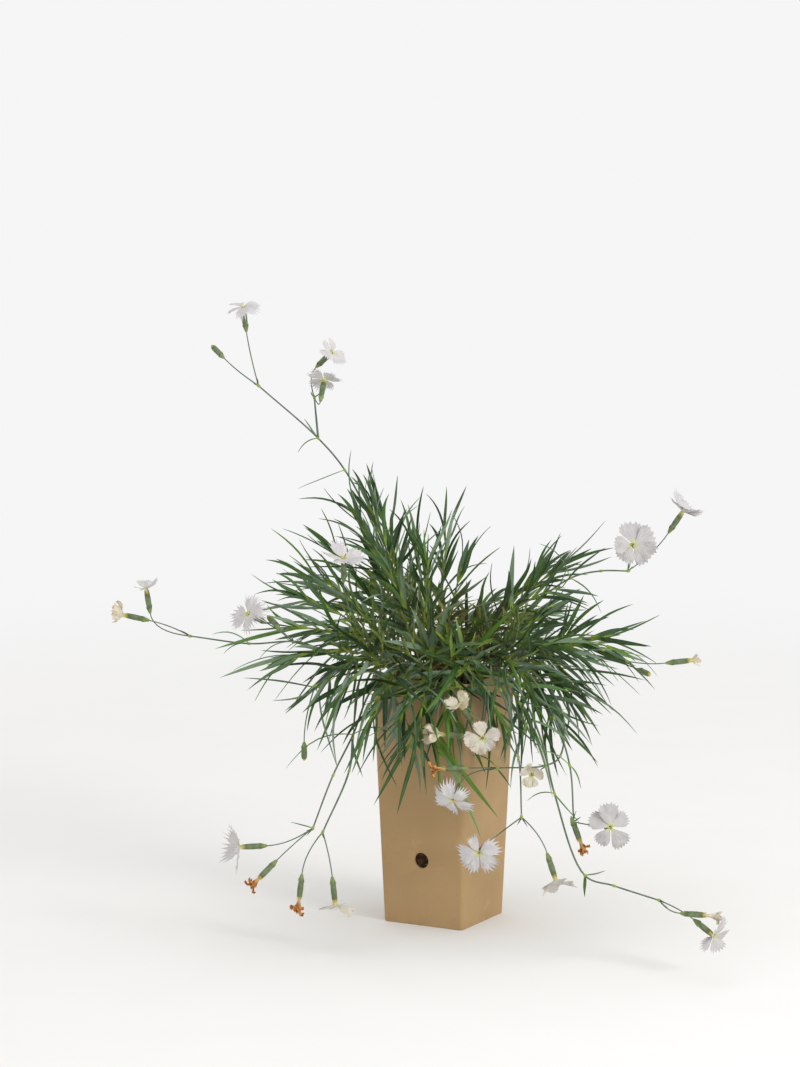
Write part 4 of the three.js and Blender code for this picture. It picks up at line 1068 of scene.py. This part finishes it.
def add_petal(skin, to_world, radius, style, draw):
    """One petal: a narrow claw out of the calyx, and a fan of a blade with a fringed edge."""
    us = np.array([(tooth + at) / TEETH * 2 - 1 for tooth in range(TEETH) for at, _ in TOOTH] + [1.0])
    offsets = np.array([offset for _ in range(TEETH) for _, offset in TOOTH] + [TOOTH[0][1]])
    columns = len(us)
    seed = 20 * draw()
    blade_start = CLAW[-1][0]
    tan_half = tan(style["half_angle"])
    size = radius * style["size"]
    fringe = size * style["fringe"]
    cosine, sine = cos(style["angle"]), sin(style["angle"])

    def spun(x, y, z):
        return y * cosine - x * sine, y * sine + x * cosine, z

    def shaped(x, y):
        """A place on the flat blade, lifted, cupped, pleated and crumpled, in the bloom's axes."""
        reach = max(y - blade_start, 0)
        share = reach / size
        lean = x / size
        crease = crumpled(x, y, seed) * style["crumple"] * size * min(share * 1.6, 1)
        pleat = sin(9 * x / (0.35 * size + 0.65 * y)) * style["pleat"] * size * share
        z = (CLAW[-1][1] + 0.25 + style["rise"] * reach + style["curl"] * reach * share
             + style["tilt"] * x * min(1.5 * share + 0.1, 1) + style["fold"] * size * lean * lean * share
             + crease + pleat)
        pull = 1 - 0.35 * min(abs(style["rise"] + style["curl"] * share), 1.2)
        side_slip = crumpled(x + 40, y, seed) * style["crumple"] * size * 0.6 * share
        return spun(x + side_slip, blade_start + reach * pull if reach else y, z)

    rows, along = [], []
    for reach, height in CLAW:
        width = CLAW_HALF_WIDTH * (0.8 + 0.25 * reach)
        rows.append([spun(u * width, reach, height) for u in us])
        along.append(0.02 + 0.02 * (height + 7))
    ends = size * (style["edge"] - style["round"] * np.abs(us) ** 2.6)
    for share in BLADE_ROWS:
        toothed = offsets * fringe * share ** 6
        flat = []
        for u, end, tooth in zip(us, ends, toothed):
            y = blade_start + (end + tooth - blade_start) * share
            half_width = CLAW_HALF_WIDTH + (y - blade_start) * tan_half * (1 - style["waist"] * share)
            flat.append((u * half_width, y))
        rows.append([shaped(x, y) for x, y in flat])
        along.append(0.2 + 0.7 * share)
    tips, triangles = [], []
    last = (len(rows) - 1) * columns
    for tooth in range(TEETH):
        top = tooth * len(TOOTH) + 2
        x, y = flat[top]
        outward = atan2(x, y + 0.25 * size) * 1.15 + 0.35 * (draw() - 0.5)
        reach = fringe * (0.35 + 0.75 * draw()) * (1 - 0.35 * us[top] ** 2)
        spot = shaped(x + sin(outward) * reach, y + cos(outward) * reach)
        count = len(rows) * columns + len(tips)
        tips.append((spot[0], spot[1], spot[2] + fringe * 0.5 * (draw() - 0.4)))
        triangles += [(last + top, last + top - 1, count), (last + top + 1, last + top, count)]
    values = np.concatenate([np.repeat(along, columns), np.ones(len(tips))])
    across = np.concatenate([np.tile(us, len(rows)), np.linspace(-1, 1, len(tips))])
    thickness = np.interp(values, [0, 0.6, 1], [0.26, 0.2, 0.07])
    # the sheet carries its flower's painted shade to the petal shader
    skin.add_sheet(to_world(*np.moveaxis(np.array(rows), -1, 0)), thickness, 0,
                   extra=(to_world(*np.transpose(tips)), triangles), along=values, across=across,
                   age=style["age"], tone=style["painted_shade"])


def petal_styles(kind, number, first, draw):
    """How each of a bloom's petals is shaped: open ones spread, ageing ones cup and crumple. Each
    petal is tilted so that it overlaps the next."""
    usual = USUAL_SHAPES[kind]
    shape = PETAL_SHAPES.get(number, usual)
    lift, curl, half_angle, size, fringe, crumple, age = shape + usual[len(shape):]
    own = {"half_angle": half_angle, "rise": lift, "curl": curl, "age": age}
    alike = {"fringe": fringe, "crumple": crumple, "edge": 1.08 - fringe, **PETALS_ALIKE[kind]}
    styles = []
    for petal in range(PETALS):
        own["angle"] = first + petal * 2 * pi / PETALS
        # each petal takes its flower's share of painted shade
        style = {"painted_shade": PETAL_PAINTED_SHADE.get(number, 0.0), **alike}
        for measure, (value, span, middle) in PETALS_VARY[kind].items():
            style[measure] = own.get(measure, value) + span * (draw() - middle)
        style["size"] *= size
        styles.append(style)
    return styles


def add_throat(skin, to_world, draw):
    """Two curled styles and six stamens in the mouth of a bloom."""
    shares = np.linspace(0, 1, 7)
    for index in range(THROAT_PARTS):
        angle = 2 * pi * (index / THROAT_PARTS + 0.05 * draw())
        is_style = index % 4 == 0
        reach = (2.6 + draw()) if is_style else (0.9 + 0.8 * draw())
        top = (4.6 + 1.5 * draw()) if is_style else (1.8 + 1.4 * draw())
        radius = reach * shares ** 2 + 0.25
        turn = angle + (1.4 if is_style else 0.3) * shares
        heights = -THROAT_DEPTH + (top + THROAT_DEPTH) * np.sin(shares * pi / 2)
        points = to_world(radius * np.cos(turn), radius * np.sin(turn), heights)
        add_rod(skin, list(points), np.linspace(0.16, 0.1, 7), 5, 1)
        if not is_style:
            knob = [points[-1] + (points[-1] - points[-2]) * share for share in (-0.3, 0.2, 0.8, 1.2)]
            add_rod(skin, knob, [0.12, 0.34, 0.32, 0.1], 6, 1)


def add_shreds(skin, to_world, radius, oldest, draw):
    """A spent flower's petals: brown, shrunk to twisted shreds."""
    rows, columns = 9, 4
    u = np.linspace(-1, 1, columns)[None, :]
    t = np.linspace(0, 1, rows)[:, None]
    for index in range(SHREDS):
        angle = 2 * pi * (index + 0.6 * draw()) / SHREDS
        spread = radius * (0.35 + 0.9 * draw())
        height = radius * (1.1 + 1.1 * draw())
        curl = (draw() - 0.5) * 2.2
        width = radius * (0.18 + 0.2 * draw())
        reach = 0.8 + spread * t ** 1.6
        broad = width * u * (0.35 + 0.9 * np.sin(pi * np.minimum(t * 0.8 + 0.1, 1)))
        turn = angle + curl * t ** 2 + broad / (reach + 1)
        z = -THROAT_DEPTH + (height + THROAT_DEPTH) * np.sin(np.minimum(t * 1.15, 1) * pi / 2)
        z = z - radius * 0.5 * draw() * t ** 4 + 0.25 * radius * np.sin(5 * t + 3 * u + 6 * draw()) * t
        grid = to_world(reach * np.cos(turn), reach * np.sin(turn), z)
        skin.add_sheet(grid, SHRED_THICKNESS, 0, along=np.repeat(np.linspace(0.3, 1, rows), columns),
                       across=np.tile(u.ravel(), rows), age=oldest - 0.2 * draw())


def build_bloom(number, kind, radius, head_frame, lines):
    mouth, axis, side, across = head_frame
    skin = Skin()
    draw = seeded_draws(9000 + 131 * number)

    def to_world(x, y, z):
        x, y, z = (np.asarray(value, float)[..., None] for value in (x, y, z))
        return mouth + side * x + across * y + axis * z

    if kind == "withered":
        add_shreds(skin, to_world, radius, SHRED_AGES.get(number, 1.0), draw)
    else:
        front = atan2(-across[1], -side[1])
        first = front if number in PETAL_TO_FRONT else pi / PETALS
        for style in petal_styles(kind, number, first, draw):
            add_petal(skin, to_world, radius, style, draw)
        add_throat(skin, to_world, draw)
    for spoke in range(2 * PETALS):
        angle = pi * spoke / PETALS
        rim = mouth + radius * 0.8 * (side * cos(angle) + across * sin(angle)) + axis * 2
        lines.remember([mouth, rim], radius * 0.26)
    skin.piece(f"flower_{number:02d}", [PETAL, STAMEN], [f"bloom_{number:02d}"])


# ---------------------------------------------------------------- leafy shoots

class Shoot:
    """One shoot's curve and the places of its pairs of leaves, as in the CAD."""

    def __init__(self, owner, start, control, end):
        self.owner, self.start, self.control, self.end = owner, start, control, end
        last_leg = 2 * distance(end, control)
        self.pair_step = PAIR_SPACING / last_leg
        sheath_step = SHEATH_LENGTH / last_leg
        self.first_pair = 1 - (PAIRS_PER_SHOOT - 0.4) * self.pair_step
        self.bare_steps = LOW_SHOOT_BARE_STEPS if end[2] < LOW_SHOOT_APEX else SHOOT_BARE_STEPS
        self.stations = [self.first_pair * step / self.bare_steps for step in range(self.bare_steps)]
        for pair in range(PAIRS_PER_SHOOT):
            at = self.first_pair + pair * self.pair_step
            self.stations += [at, at + sheath_step]

    def point(self, share):
        return bezier(self.start, self.control, self.end, share)

    def path(self):
        return [self.point(station) for station in self.stations]


def shoot_route(root, tip, owner, lines, draw):
    """A shoot with room for its curve, as in the CAD, or None where none is found."""
    start = place([*root, SOIL_TOP + 2])
    for attempt in range(ROUTE_TRIES):
        wander = 0.4 * attempt
        end = place(tip) + place([(draw() - 0.5) * wander * 0.6 for _ in range(3)])
        span = hypot(end[0] - start[0], end[1] - start[1])
        control = start + (end - start) * 0.42
        control[0] += (draw() - 0.5) * wander
        control[1] += (draw() - 0.5) * wander
        control[2] = start[2] + 0.5 * (end[2] - start[2]) + SHOOT_ARCH * span + draw() * wander
        if end[2] < LOW_SHOOT_APEX:
            control[2] = max(control[2], LOW_SHOOT_CREST + draw() * wander)
        shoot = Shoot(owner, start, control, end)
        if lines.are_clear(shoot.path(), SHOOT_RADIUS + 0.3, (owner[0], None), 0):
            lines.remember(shoot.path(), SHOOT_RADIUS + 0.2, owner)
            return shoot
    return None


def clearance_line(foot, bend, tip):
    """What of a leaf has to keep clear: all but its foot, which is on its own shoot."""
    return [foot + (bend - foot) * 0.12, bend, tip]


def cad_leaf(point, along, out, share, owner, lines, draw):
    """Foot, bend, tip, heading, across and share of a leaf of the CAD, or None where it has no room."""
    across = np.cross(along, out)
    foot = point + out * (SHOOT_RADIUS * 0.6)
    for attempt in range(LEAF_TRIES):
        spread = radians(50 - 34 * share + (draw() - 0.5) * (16 + 2 * attempt))
        swing = (draw() - 0.5) * (0.5 + 0.08 * attempt)
        length = LEAF_LENGTH * (1 - 0.25 * share) * (0.84 + 0.3 * draw()) * (1 - 0.02 * attempt)
        droop = 0.02 + 0.14 * draw()
        sideways = unit(out + across * swing)
        heading = between(along, sideways, spread)
        bend = foot + heading * (LEAF_WIDEST * length)
        tip = foot + heading * length + sideways * (length * (0.16 * draw() - 0.04)) - UP * (length * droop)
        line = clearance_line(foot, bend, tip)
        if lines.are_clear(line, LEAF_WIDTH / 2, owner, OWN_LEAF_GAP):
            lines.remember(line, LEAF_WIDTH / 2, owner)
            return foot, bend, tip, heading, across, share
    return None


def cad_leaves(shoot, lines, draw):
    """All the leaves that the CAD's shoot has: its pairs stand crosswise."""
    frames = frames_along(shoot.path())
    turn = draw() * 2 * pi
    leaves = []
    for pair in range(PAIRS_PER_SHOOT):
        point, along, side, across = frames[shoot.bare_steps + 2 * pair]
        for face in range(pair % 2, 4, 2):
            out = between(side, across, turn + (face + 0.5) * pi / 2)
            leaves.append(cad_leaf(point, along, out, pair / (PAIRS_PER_SHOOT - 1), shoot.owner, lines, draw))
    return [leaf for leaf in leaves if leaf]


# Finer leaves: how much of their width keeps clear of all else, and their gap to their own shoot's
FINE_LEAF_SHARE = 0.3
FINE_LEAF_GAP = 0.4
LONG_LEAF = 62
CROSSING_TRIES = 14
CROSSING_WIDTH = 4.2
OUTWARD_TRIES = 7
TWIG_RADIUS = 0.6
# The leaves of a twig: where along it they grow, and their length
TWIG_LEAVES = [(2, 20), (4, 30), (5, 24)]
# The pairs of leaves at a shoot's end: their length, spread in degrees and width
END_LEAVES = [(60, 24, 3.6), (50, 13, 2.8), (30, 6, 2.0)]
SHOOT_STEPS = 59
# The old crown over the soil, and how far its olive and its brown reach
CROWN = place([16, -2, 236])
CROWN_REACH = 42
BROWN_REACH = 90
# Where the real plant stays open: from and to, across and up, of gaps through which the light shows
OPENINGS = [
    ((0, 264), (57, 320)),
    ((108, 246), (166, 292)),
    ((146, 214), (190, 244)),
    ((-112, 345), (-80, 410)),
    ((-142, 160), (-106, 198)),
]


def weathering(point):
    """How olive and brown the growth is: most in the old crown over the soil, none outside it."""
    return 0.6 * max(0, 1 - distance(point, CROWN) / CROWN_REACH)


def browning(point):
    """How brown bark and dead leaves are: fully so in the crown, and greener away from it."""
    return 0.35 + 0.65 * max(0, 1 - distance(point, CROWN) / BROWN_REACH)


class Growth:
    """Adds finer leaves and twigs to one shoot, each only where it finds room."""

    def __init__(self, skin, owner, lines, draw):
        self.skin, self.owner, self.lines, self.draw = skin, owner, lines, draw

    def has_room(self, line, width):
        """Whether a leaf fits: its tip in the CAD's box, out of the openings and clear of all else."""
        low, high = cad_bounds
        if not all(low[axis] < value * MM < high[axis] for axis, value in enumerate(turned(line[-1]))):
            return False
        for point in (line[1], (line[1] + line[2]) / 2, line[2]):
            if any(x0 < point[0] < x1 and z0 < point[2] < z1 for (x0, z0), (x1, z1) in OPENINGS):
                return False
        return self.lines.are_clear(line, width * FINE_LEAF_SHARE, self.owner, FINE_LEAF_GAP)

    def leaf(self, foot, tip, heading, reach, across, width, **looks):
        """Adds the leaf if it has room, and tells whether it had."""
        bend = foot + heading * (LEAF_WIDEST * reach)
        line = clearance_line(foot, bend, tip)
        if not self.has_room(line, width):
            return False
        self.lines.remember(line, width * FINE_LEAF_SHARE, self.owner)
        add_leaf(self.skin, foot, bend, tip, square_to(across, heading), width, self.draw, **looks)
        return True

    def crossing(self, ring_frame, steepest, young):
        """A leaf in any direction across the run of the others."""
        draw = self.draw
        point, along = ring_frame[:2]
        side = unit(np.cross(along, UP + along * 0.01))
        for attempt in range(CROSSING_TRIES):
            out = between(side, np.cross(along, side), 2 * pi * draw())
            heading = between(along, out, radians(35 + 75 * draw()))
            reach = LONG_LEAF * (0.75 + 0.4 * draw()) * (1 - 0.02 * attempt)
            foot = point + out * (SHOOT_RADIUS * 0.5)
            tip = foot + heading * reach - UP * (reach * (0.02 + 0.2 * draw()))
            if steepest[0] < heading[2] < steepest[1]:
                if self.leaf(foot, tip, heading, reach, np.cross(along, out), CROSSING_WIDTH,
                             age=weathering(foot), young=young):
                    return

    def outward(self, ring_frame, turn, offset, length, spread, width, rise=0.0, sink=0.0, droop=0.1,
                **looks):
        """A leaf that spreads from the shoot by about so many degrees."""
        draw = self.draw
        point, along, side, across = ring_frame
        out = between(side, across, turn)
        if sink:
            out = unit(out - UP * sink)
        foot = point + along * rise + out * offset
        across = np.cross(along, out)
        for attempt in range(OUTWARD_TRIES):
            angle = radians(spread + (draw() - 0.5) * (30 + 4 * attempt))
            sideways = unit(out + across * ((draw() - 0.5) * (0.9 + 0.1 * attempt)))
            reach = length * (0.8 + 0.4 * draw()) * (1 - 0.05 * attempt)
            heading = between(along, sideways, angle)
            tip = foot + heading * reach - UP * (reach * droop * (0.3 + 1.4 * draw()))
            tip = tip + sideways * (reach * 0.2 * (draw() - 0.35))
            if self.leaf(foot, tip, heading, reach, across, width, **looks):
                return

    def twig(self, ring_frame, turn, lean):
        """A short side shoot with a few small fresh leaves, from the bare part of a shoot."""
        draw = self.draw
        start, along, side, across = ring_frame
        reach = 12 + 14 * draw()
        heading = unit(between(along, between(side, across, turn), lean) + UP * 0.35)
        points = [start + heading * (reach * share) + UP * (reach * 0.25 * share ** 2)
                  for share in np.linspace(0, 1, 6)]
        line = [points[1], points[-1]]
        if not self.lines.are_clear(line, TWIG_RADIUS, (self.owner[0], None), FINE_LEAF_GAP):
            return
        self.lines.remember(line, TWIG_RADIUS, self.owner)
        add_rod(self.skin, points, np.linspace(0.75, 0.45, 6), 6, 1, along=0.7, age=0.25)
        frames = frames_along(points)
        turn = 2 * pi * draw()
        for station, length in TWIG_LEAVES:
            for way in (0, pi):
                self.outward(frames[station], turn + way, 0.3, length, 52 - 7 * station, 2.6,
                             age=0.08 + 0.25 * draw() + weathering(points[station]), young=0.65)
            turn += pi / 2


def dress_shoot(skin, shoot, leaves, lines, draw):
    """A shoot's stem, its leaves of the CAD and the finer ones between and beyond them."""
    leafy = 1 - shoot.first_pair
    bare = np.linspace(0, shoot.first_pair, 12)[:-1]
    shares = np.concatenate([bare, np.linspace(shoot.first_pair, 1, 22)])
    points = [shoot.point(share) for share in shares]
    pair_phase = (shares - shoot.first_pair) / shoot.pair_step
    near_pair = np.exp(-((pair_phase - np.round(pair_phase)) / 0.16) ** 2) * (pair_phase > -0.3)
    radii = SHOOT_RADIUS * (1 - 0.35 * shares) * (0.78 + 0.3 * near_pair)
    age = np.clip(1 - shares / max(shoot.first_pair * 0.8, 0.1), 0, 1) ** 0.7
    age *= [browning(point) for point in points]
    root = points[0] - UP * ROOT_DEPTH
    add_rod(skin, [root, *points], [1.3, *radii], 8, 1, along=[0, *near_pair], age=[1, *age])
    for foot, bend, tip, heading, across, share in leaves:
        width = (4.9 - 1.1 * share) * (0.88 + 0.24 * draw())
        age = weathering(foot) * draw()
        add_leaf(skin, foot, bend, tip, square_to(across, heading), width, draw, age=age,
                 young=0.25 * share * draw())
    growth = Growth(skin, shoot.owner, lines, draw)
    frames = frames_along([shoot.point(share) for share in np.linspace(0, 1, SHOOT_STEPS + 1)])

    def at(share):
        return frames[min(max(round(share * SHOOT_STEPS), 0), SHOOT_STEPS)]

    turn = 2 * pi * draw()
    low = shoot.bare_steps == LOW_SHOOT_BARE_STEPS
    # Leaves across the bare part, on low shoots more of them, every other one nearly level
    for level in range(12 if low else 4):
        share = (0.2 + (0.07 if low else 0.16) * level) * (shoot.first_pair + 0.3 * leafy)
        steepest = (-0.4, 0.3) if low and level % 2 == 0 else (-0.6, 1.0)
        growth.crossing(at(share), steepest, 0.8 * draw() if draw() < 0.2 else 0.0)
    # On low shoots one leaf that hangs and one that rises among the pairs
    for level in range(2 if low else 0):
        growth.outward(at(shoot.first_pair + leafy * (0.25 + 0.5 * level)), turn + 2.1 * level,
                       SHOOT_RADIUS * 0.5, LONG_LEAF, 50, 3.4, sink=0.6 - 0.9 * level, droop=0.2,
                       young=0.8 * draw())
    # The end's pairs, crosswise and shorter and younger towards the tip
    for level, (length, spread, width) in enumerate(END_LEAVES):
        for way in (0, pi):
            growth.outward(frames[-1], turn + way, 0.3, length, spread * (1.6 if low else 1), width,
                           rise=1.5 * level, young=0.1 + 0.25 * level)
        turn += pi / 2
    # Broad leaves just below the two lowest pairs
    for pair in range(2):
        growth.outward(at(shoot.first_pair + (pair - 0.5) * shoot.pair_step), turn + 2.4 * pair,
                       SHOOT_RADIUS * 0.55, LONG_LEAF - 8 * pair, 62 - 12 * pair, 4.0)
    # Small dead leaves up the bare part, and twigs from its upper half
    for level in range(6):
        there = at(shoot.first_pair * (0.1 + 0.15 * level))
        if level < 5:
            growth.outward(there, turn, 0.6, 22 + 12 * draw(), 60, 2.2, droop=0.5,
                           age=(0.95 - 0.3 * draw()) * browning(there[0]))
        turn += 2.2
        if level > 2:
            growth.twig(there, turn, 0.6 + 0.5 * draw())


# Trailing sprays that the CAD leaves out: the tuft, how young its leaves are, the stem's route, and
# the tips of the leaves at its end
SPRAYS = [
    ("front", 0.75, [[2, -36, 212], [-6, -55, 208], [-11, -60, 188], [-7, -64, 151]], [
        [44, -72, 97], [30, -78, 80], [26, -70, 117], [-3, -68, 112], [12, -78, 132],
    ]),
    ("front_left", 0.2, [[-18, -30, 212], [-30, -50, 206], [-33, -57, 182], [-23, -62, 156]], [
        [-39, -74, 101], [-58, -66, 107], [-20, -72, 117], [-52, -58, 125], [-8, -66, 128],
    ]),
    ("left_low", 0.1, [[-24, -30, 209], [-33, -44, 214], [-43, -58, 199]], [
        [-32, -64, 159], [-60, -62, 173], [-49, -60, 160], [-77, -56, 192], [-3, -60, 191], [-75, -52, 217],
        [-10, -40, 229], [-56, -44, 227],
    ]),
    ("front_left", 0.0, [[2, -30, 209], [6, -50, 214], [8, -60, 203]], [
        [-40, -66, 189], [47, -58, 194], [-64, -60, 191], [56, -60, 180], [-17, -64, 175], [23, -70, 166],
        [2, -66, 165],
    ]),
    ("front", 0.1, [[6, -32, 209], [12, -48, 217], [15, -55, 216]], [
        [-38, -60, 206], [62, -58, 210], [-26, -54, 234], [46, -56, 238], [-12, -68, 178], [36, -68, 184],
    ]),
    ("front_right", 0.3, [[16, -30, 209], [34, -50, 214], [48, -60, 206]], [
        [104, -62, 198], [-4, -68, 194], [98, -66, 176], [30, -74, 156], [90, -66, 222], [76, -76, 150],
        [14, -62, 228],
    ]),
    ("right_low", 0.0, [[26, -24, 209], [50, -38, 212], [72, -50, 196]], [
        [128, -58, 180], [44, -70, 146], [118, -60, 156], [60, -72, 128], [132, -46, 202], [34, -62, 204],
        [98, -70, 132],
    ]),
]


def add_spray(skin, young, route, tips, owner, lines, draw):
    """A stem over the rim, which ends in a bunch of hanging leaves."""
    points = smooth_path([place(point) for point in route], 18)
    add_rod(skin, points, np.linspace(1.0, 0.7, len(points)), 8, 1, along=0.3)
    lines.remember(points[::3], 0.9, owner)
    for index, tip in enumerate(tips):
        foot, tip = points[-1 - min(index, 4)], place(tip)
        along = tip - foot
        wide = unit(np.cross(along, place([0.3 - 0.6 * draw(), -1, 0.6 * draw()])))
        lift = UP * (0.03 + 0.05 * draw()) * distance(foot, tip)
        bend = foot + along * LEAF_WIDEST + lift - place([0, 2, 0])
        add_leaf(skin, foot, bend, tip, wide, 3.8 - 0.2 * index, draw, young=young * (0.6 + 0.4 * draw()))
        lines.remember(clearance_line(foot, bend, tip), 1.2, owner)


# What stays free before a flower: from and to how far off, for what share of its radius, measured
# from a point this far in front of its mouth
FACE_VIEW = (6, 60)
FACE_SHARE = 0.8
FACE_HEIGHT = 3


def keep_faces_free(lines):
    """No finer leaf grows right in front of a flower."""
    for *_, heads in FLOWER_STEMS:
        for _, kind, radius, _, mouth, facing in heads:
            if kind != "bud":
                start = place(mouth) + unit(place(facing)) * FACE_HEIGHT
                view = [start - place([0, depth, 0]) for depth in FACE_VIEW]
                lines.remember(view, radius * FACE_SHARE)


def build_tufts(lines):
    """Every shoot's route is found first, then the leaves of the CAD, and the finer ones last."""
    routes = []
    for index, (_, root, tips) in enumerate(TUFTS):
        draw = seeded_draws(1000 + 71 * index)
        shoots = [shoot_route(root, tip, (index, number), lines, draw) for number, tip in enumerate(tips)]
        routes.append((draw, [shoot for shoot in shoots if shoot]))
    grown = [[(shoot, cad_leaves(shoot, lines, draw)) for shoot in shoots] for draw, shoots in routes]
    keep_faces_free(lines)
    for index, (name, _, _) in enumerate(TUFTS):
        skin = Skin()
        draw = seeded_draws(5000 + 97 * index)
        for tuft, *spray in SPRAYS:
            if tuft == name:
                add_spray(skin, *spray, (index, -1), lines, draw)
        for shoot, leaves in grown[index]:
            dress_shoot(skin, shoot, leaves, lines, draw)
        finishes = [LEAF_FINISHES[index % 3], STEM]
        skin.piece(f"foliage_{name}", finishes, [f"leaves_{name}"])


# ---------------------------------------------------------------- stage

# The floor's half-width in millimetres, and from and to how many metres off it fades into the surround
FLOOR_REACH = 60000
FLOOR_FADE = (0.5, 2.2)
SURROUND = "#ffffff"
SURROUND_STRENGTH = 0.92
# Where each lamp stands, its size and its power, in metres and watts, and where all of them aim
LAMPS = {
    "key": ((2.2, -0.6, 0.95), 0.7, 22),
    "fill": ((-0.4, -2.4, 1.5), 1.2, 1),
    "top": ((0.1, 0.3, 1.9), 1.2, 2),
}
LAMP_AIM = Vector((0, 0, 0.22))


def build_stage():
    """A plain pale floor, a pale surround and soft studio light."""
    corners = FLOOR_REACH * place([(-1, -1, 0), (1, -1, 0), (1, 1, 0), (-1, 1, 0)])
    floor = put("floor", mesh_of("floor", corners, np.arange(4)[None, :]))
    paper = Finish("floor_paper", Roughness=0.9, Specular_IOR_Level=0.1)
    paper.done(paper.mix(paper.noise(9, 3), "#eeedeb", "#f2f1ef"))
    off_centre = paper.node("VectorMath", {0: paper.spot()}, output="Value", operation="LENGTH")
    glow = paper.node("Emission", {"Color": colour(SURROUND), "Strength": SURROUND_STRENGTH})
    far = paper.range(off_centre, *FLOOR_FADE)
    both = paper.node("MixShader", {0: far, 1: paper.surface.outputs[0], 2: glow})
    paper.tree.links.new(both, paper.tree.nodes["Material Output"].inputs["Surface"])
    floor.data.materials.append(paper.material)
    world = bpy.data.worlds.new("surround")
    world.use_nodes = True
    background = world.node_tree.nodes["Background"]
    background.inputs["Color"].default_value = colour(SURROUND)
    background.inputs["Strength"].default_value = SURROUND_STRENGTH
    bpy.context.scene.world = world
    for name, (spot, size, power) in LAMPS.items():
        light = bpy.data.lights.new(name, "AREA")
        light.size = size
        light.energy = power
        lamp = put(name, light)
        lamp.location = spot
        lamp.rotation_euler = (LAMP_AIM - Vector(spot)).to_track_quat("-Z", "Y").to_euler()


# The camera stands where the photograph's did, 2.65 m off and a little higher than the plant
CAMERA_YAW = radians(28.92)
CAMERA_PITCH = radians(6.68)
CAMERA_DISTANCE = 2.649
CAMERA_AIM = Vector((0, 0, 0.1))
CAMERA_RIGHT = -0.0363
CAMERA_RISE = 0.2192
SENSOR_HEIGHT = 36
FOCAL_PIXELS = 3200
IMAGE_HEIGHT = 1067


def build_camera():
    right = Vector((cos(CAMERA_YAW), sin(CAMERA_YAW), 0))
    level = Vector((-sin(CAMERA_YAW), cos(CAMERA_YAW), 0))
    ahead = level * cos(CAMERA_PITCH) - Vector(UP) * sin(CAMERA_PITCH)
    up = level * sin(CAMERA_PITCH) + Vector(UP) * cos(CAMERA_PITCH)
    lens = bpy.data.cameras.new("camera")
    lens.sensor_fit = "VERTICAL"
    lens.sensor_height = SENSOR_HEIGHT
    lens.lens = FOCAL_PIXELS / IMAGE_HEIGHT * SENSOR_HEIGHT
    camera = put("camera", lens)
    camera.location = CAMERA_AIM - ahead * CAMERA_DISTANCE + right * CAMERA_RIGHT + up * CAMERA_RISE
    camera.rotation_euler = ahead.to_track_quat("-Z", "Y").to_euler()
    bpy.context.scene.camera = camera


bpy.context.scene.view_settings.view_transform = "Standard"
build_camera()
build_stage()
build_pot()
build_soil()
placed = ThickLines()
for flower_stem in FLOWER_STEMS:
    build_flower_stem(*flower_stem, placed)
build_tufts(placed)
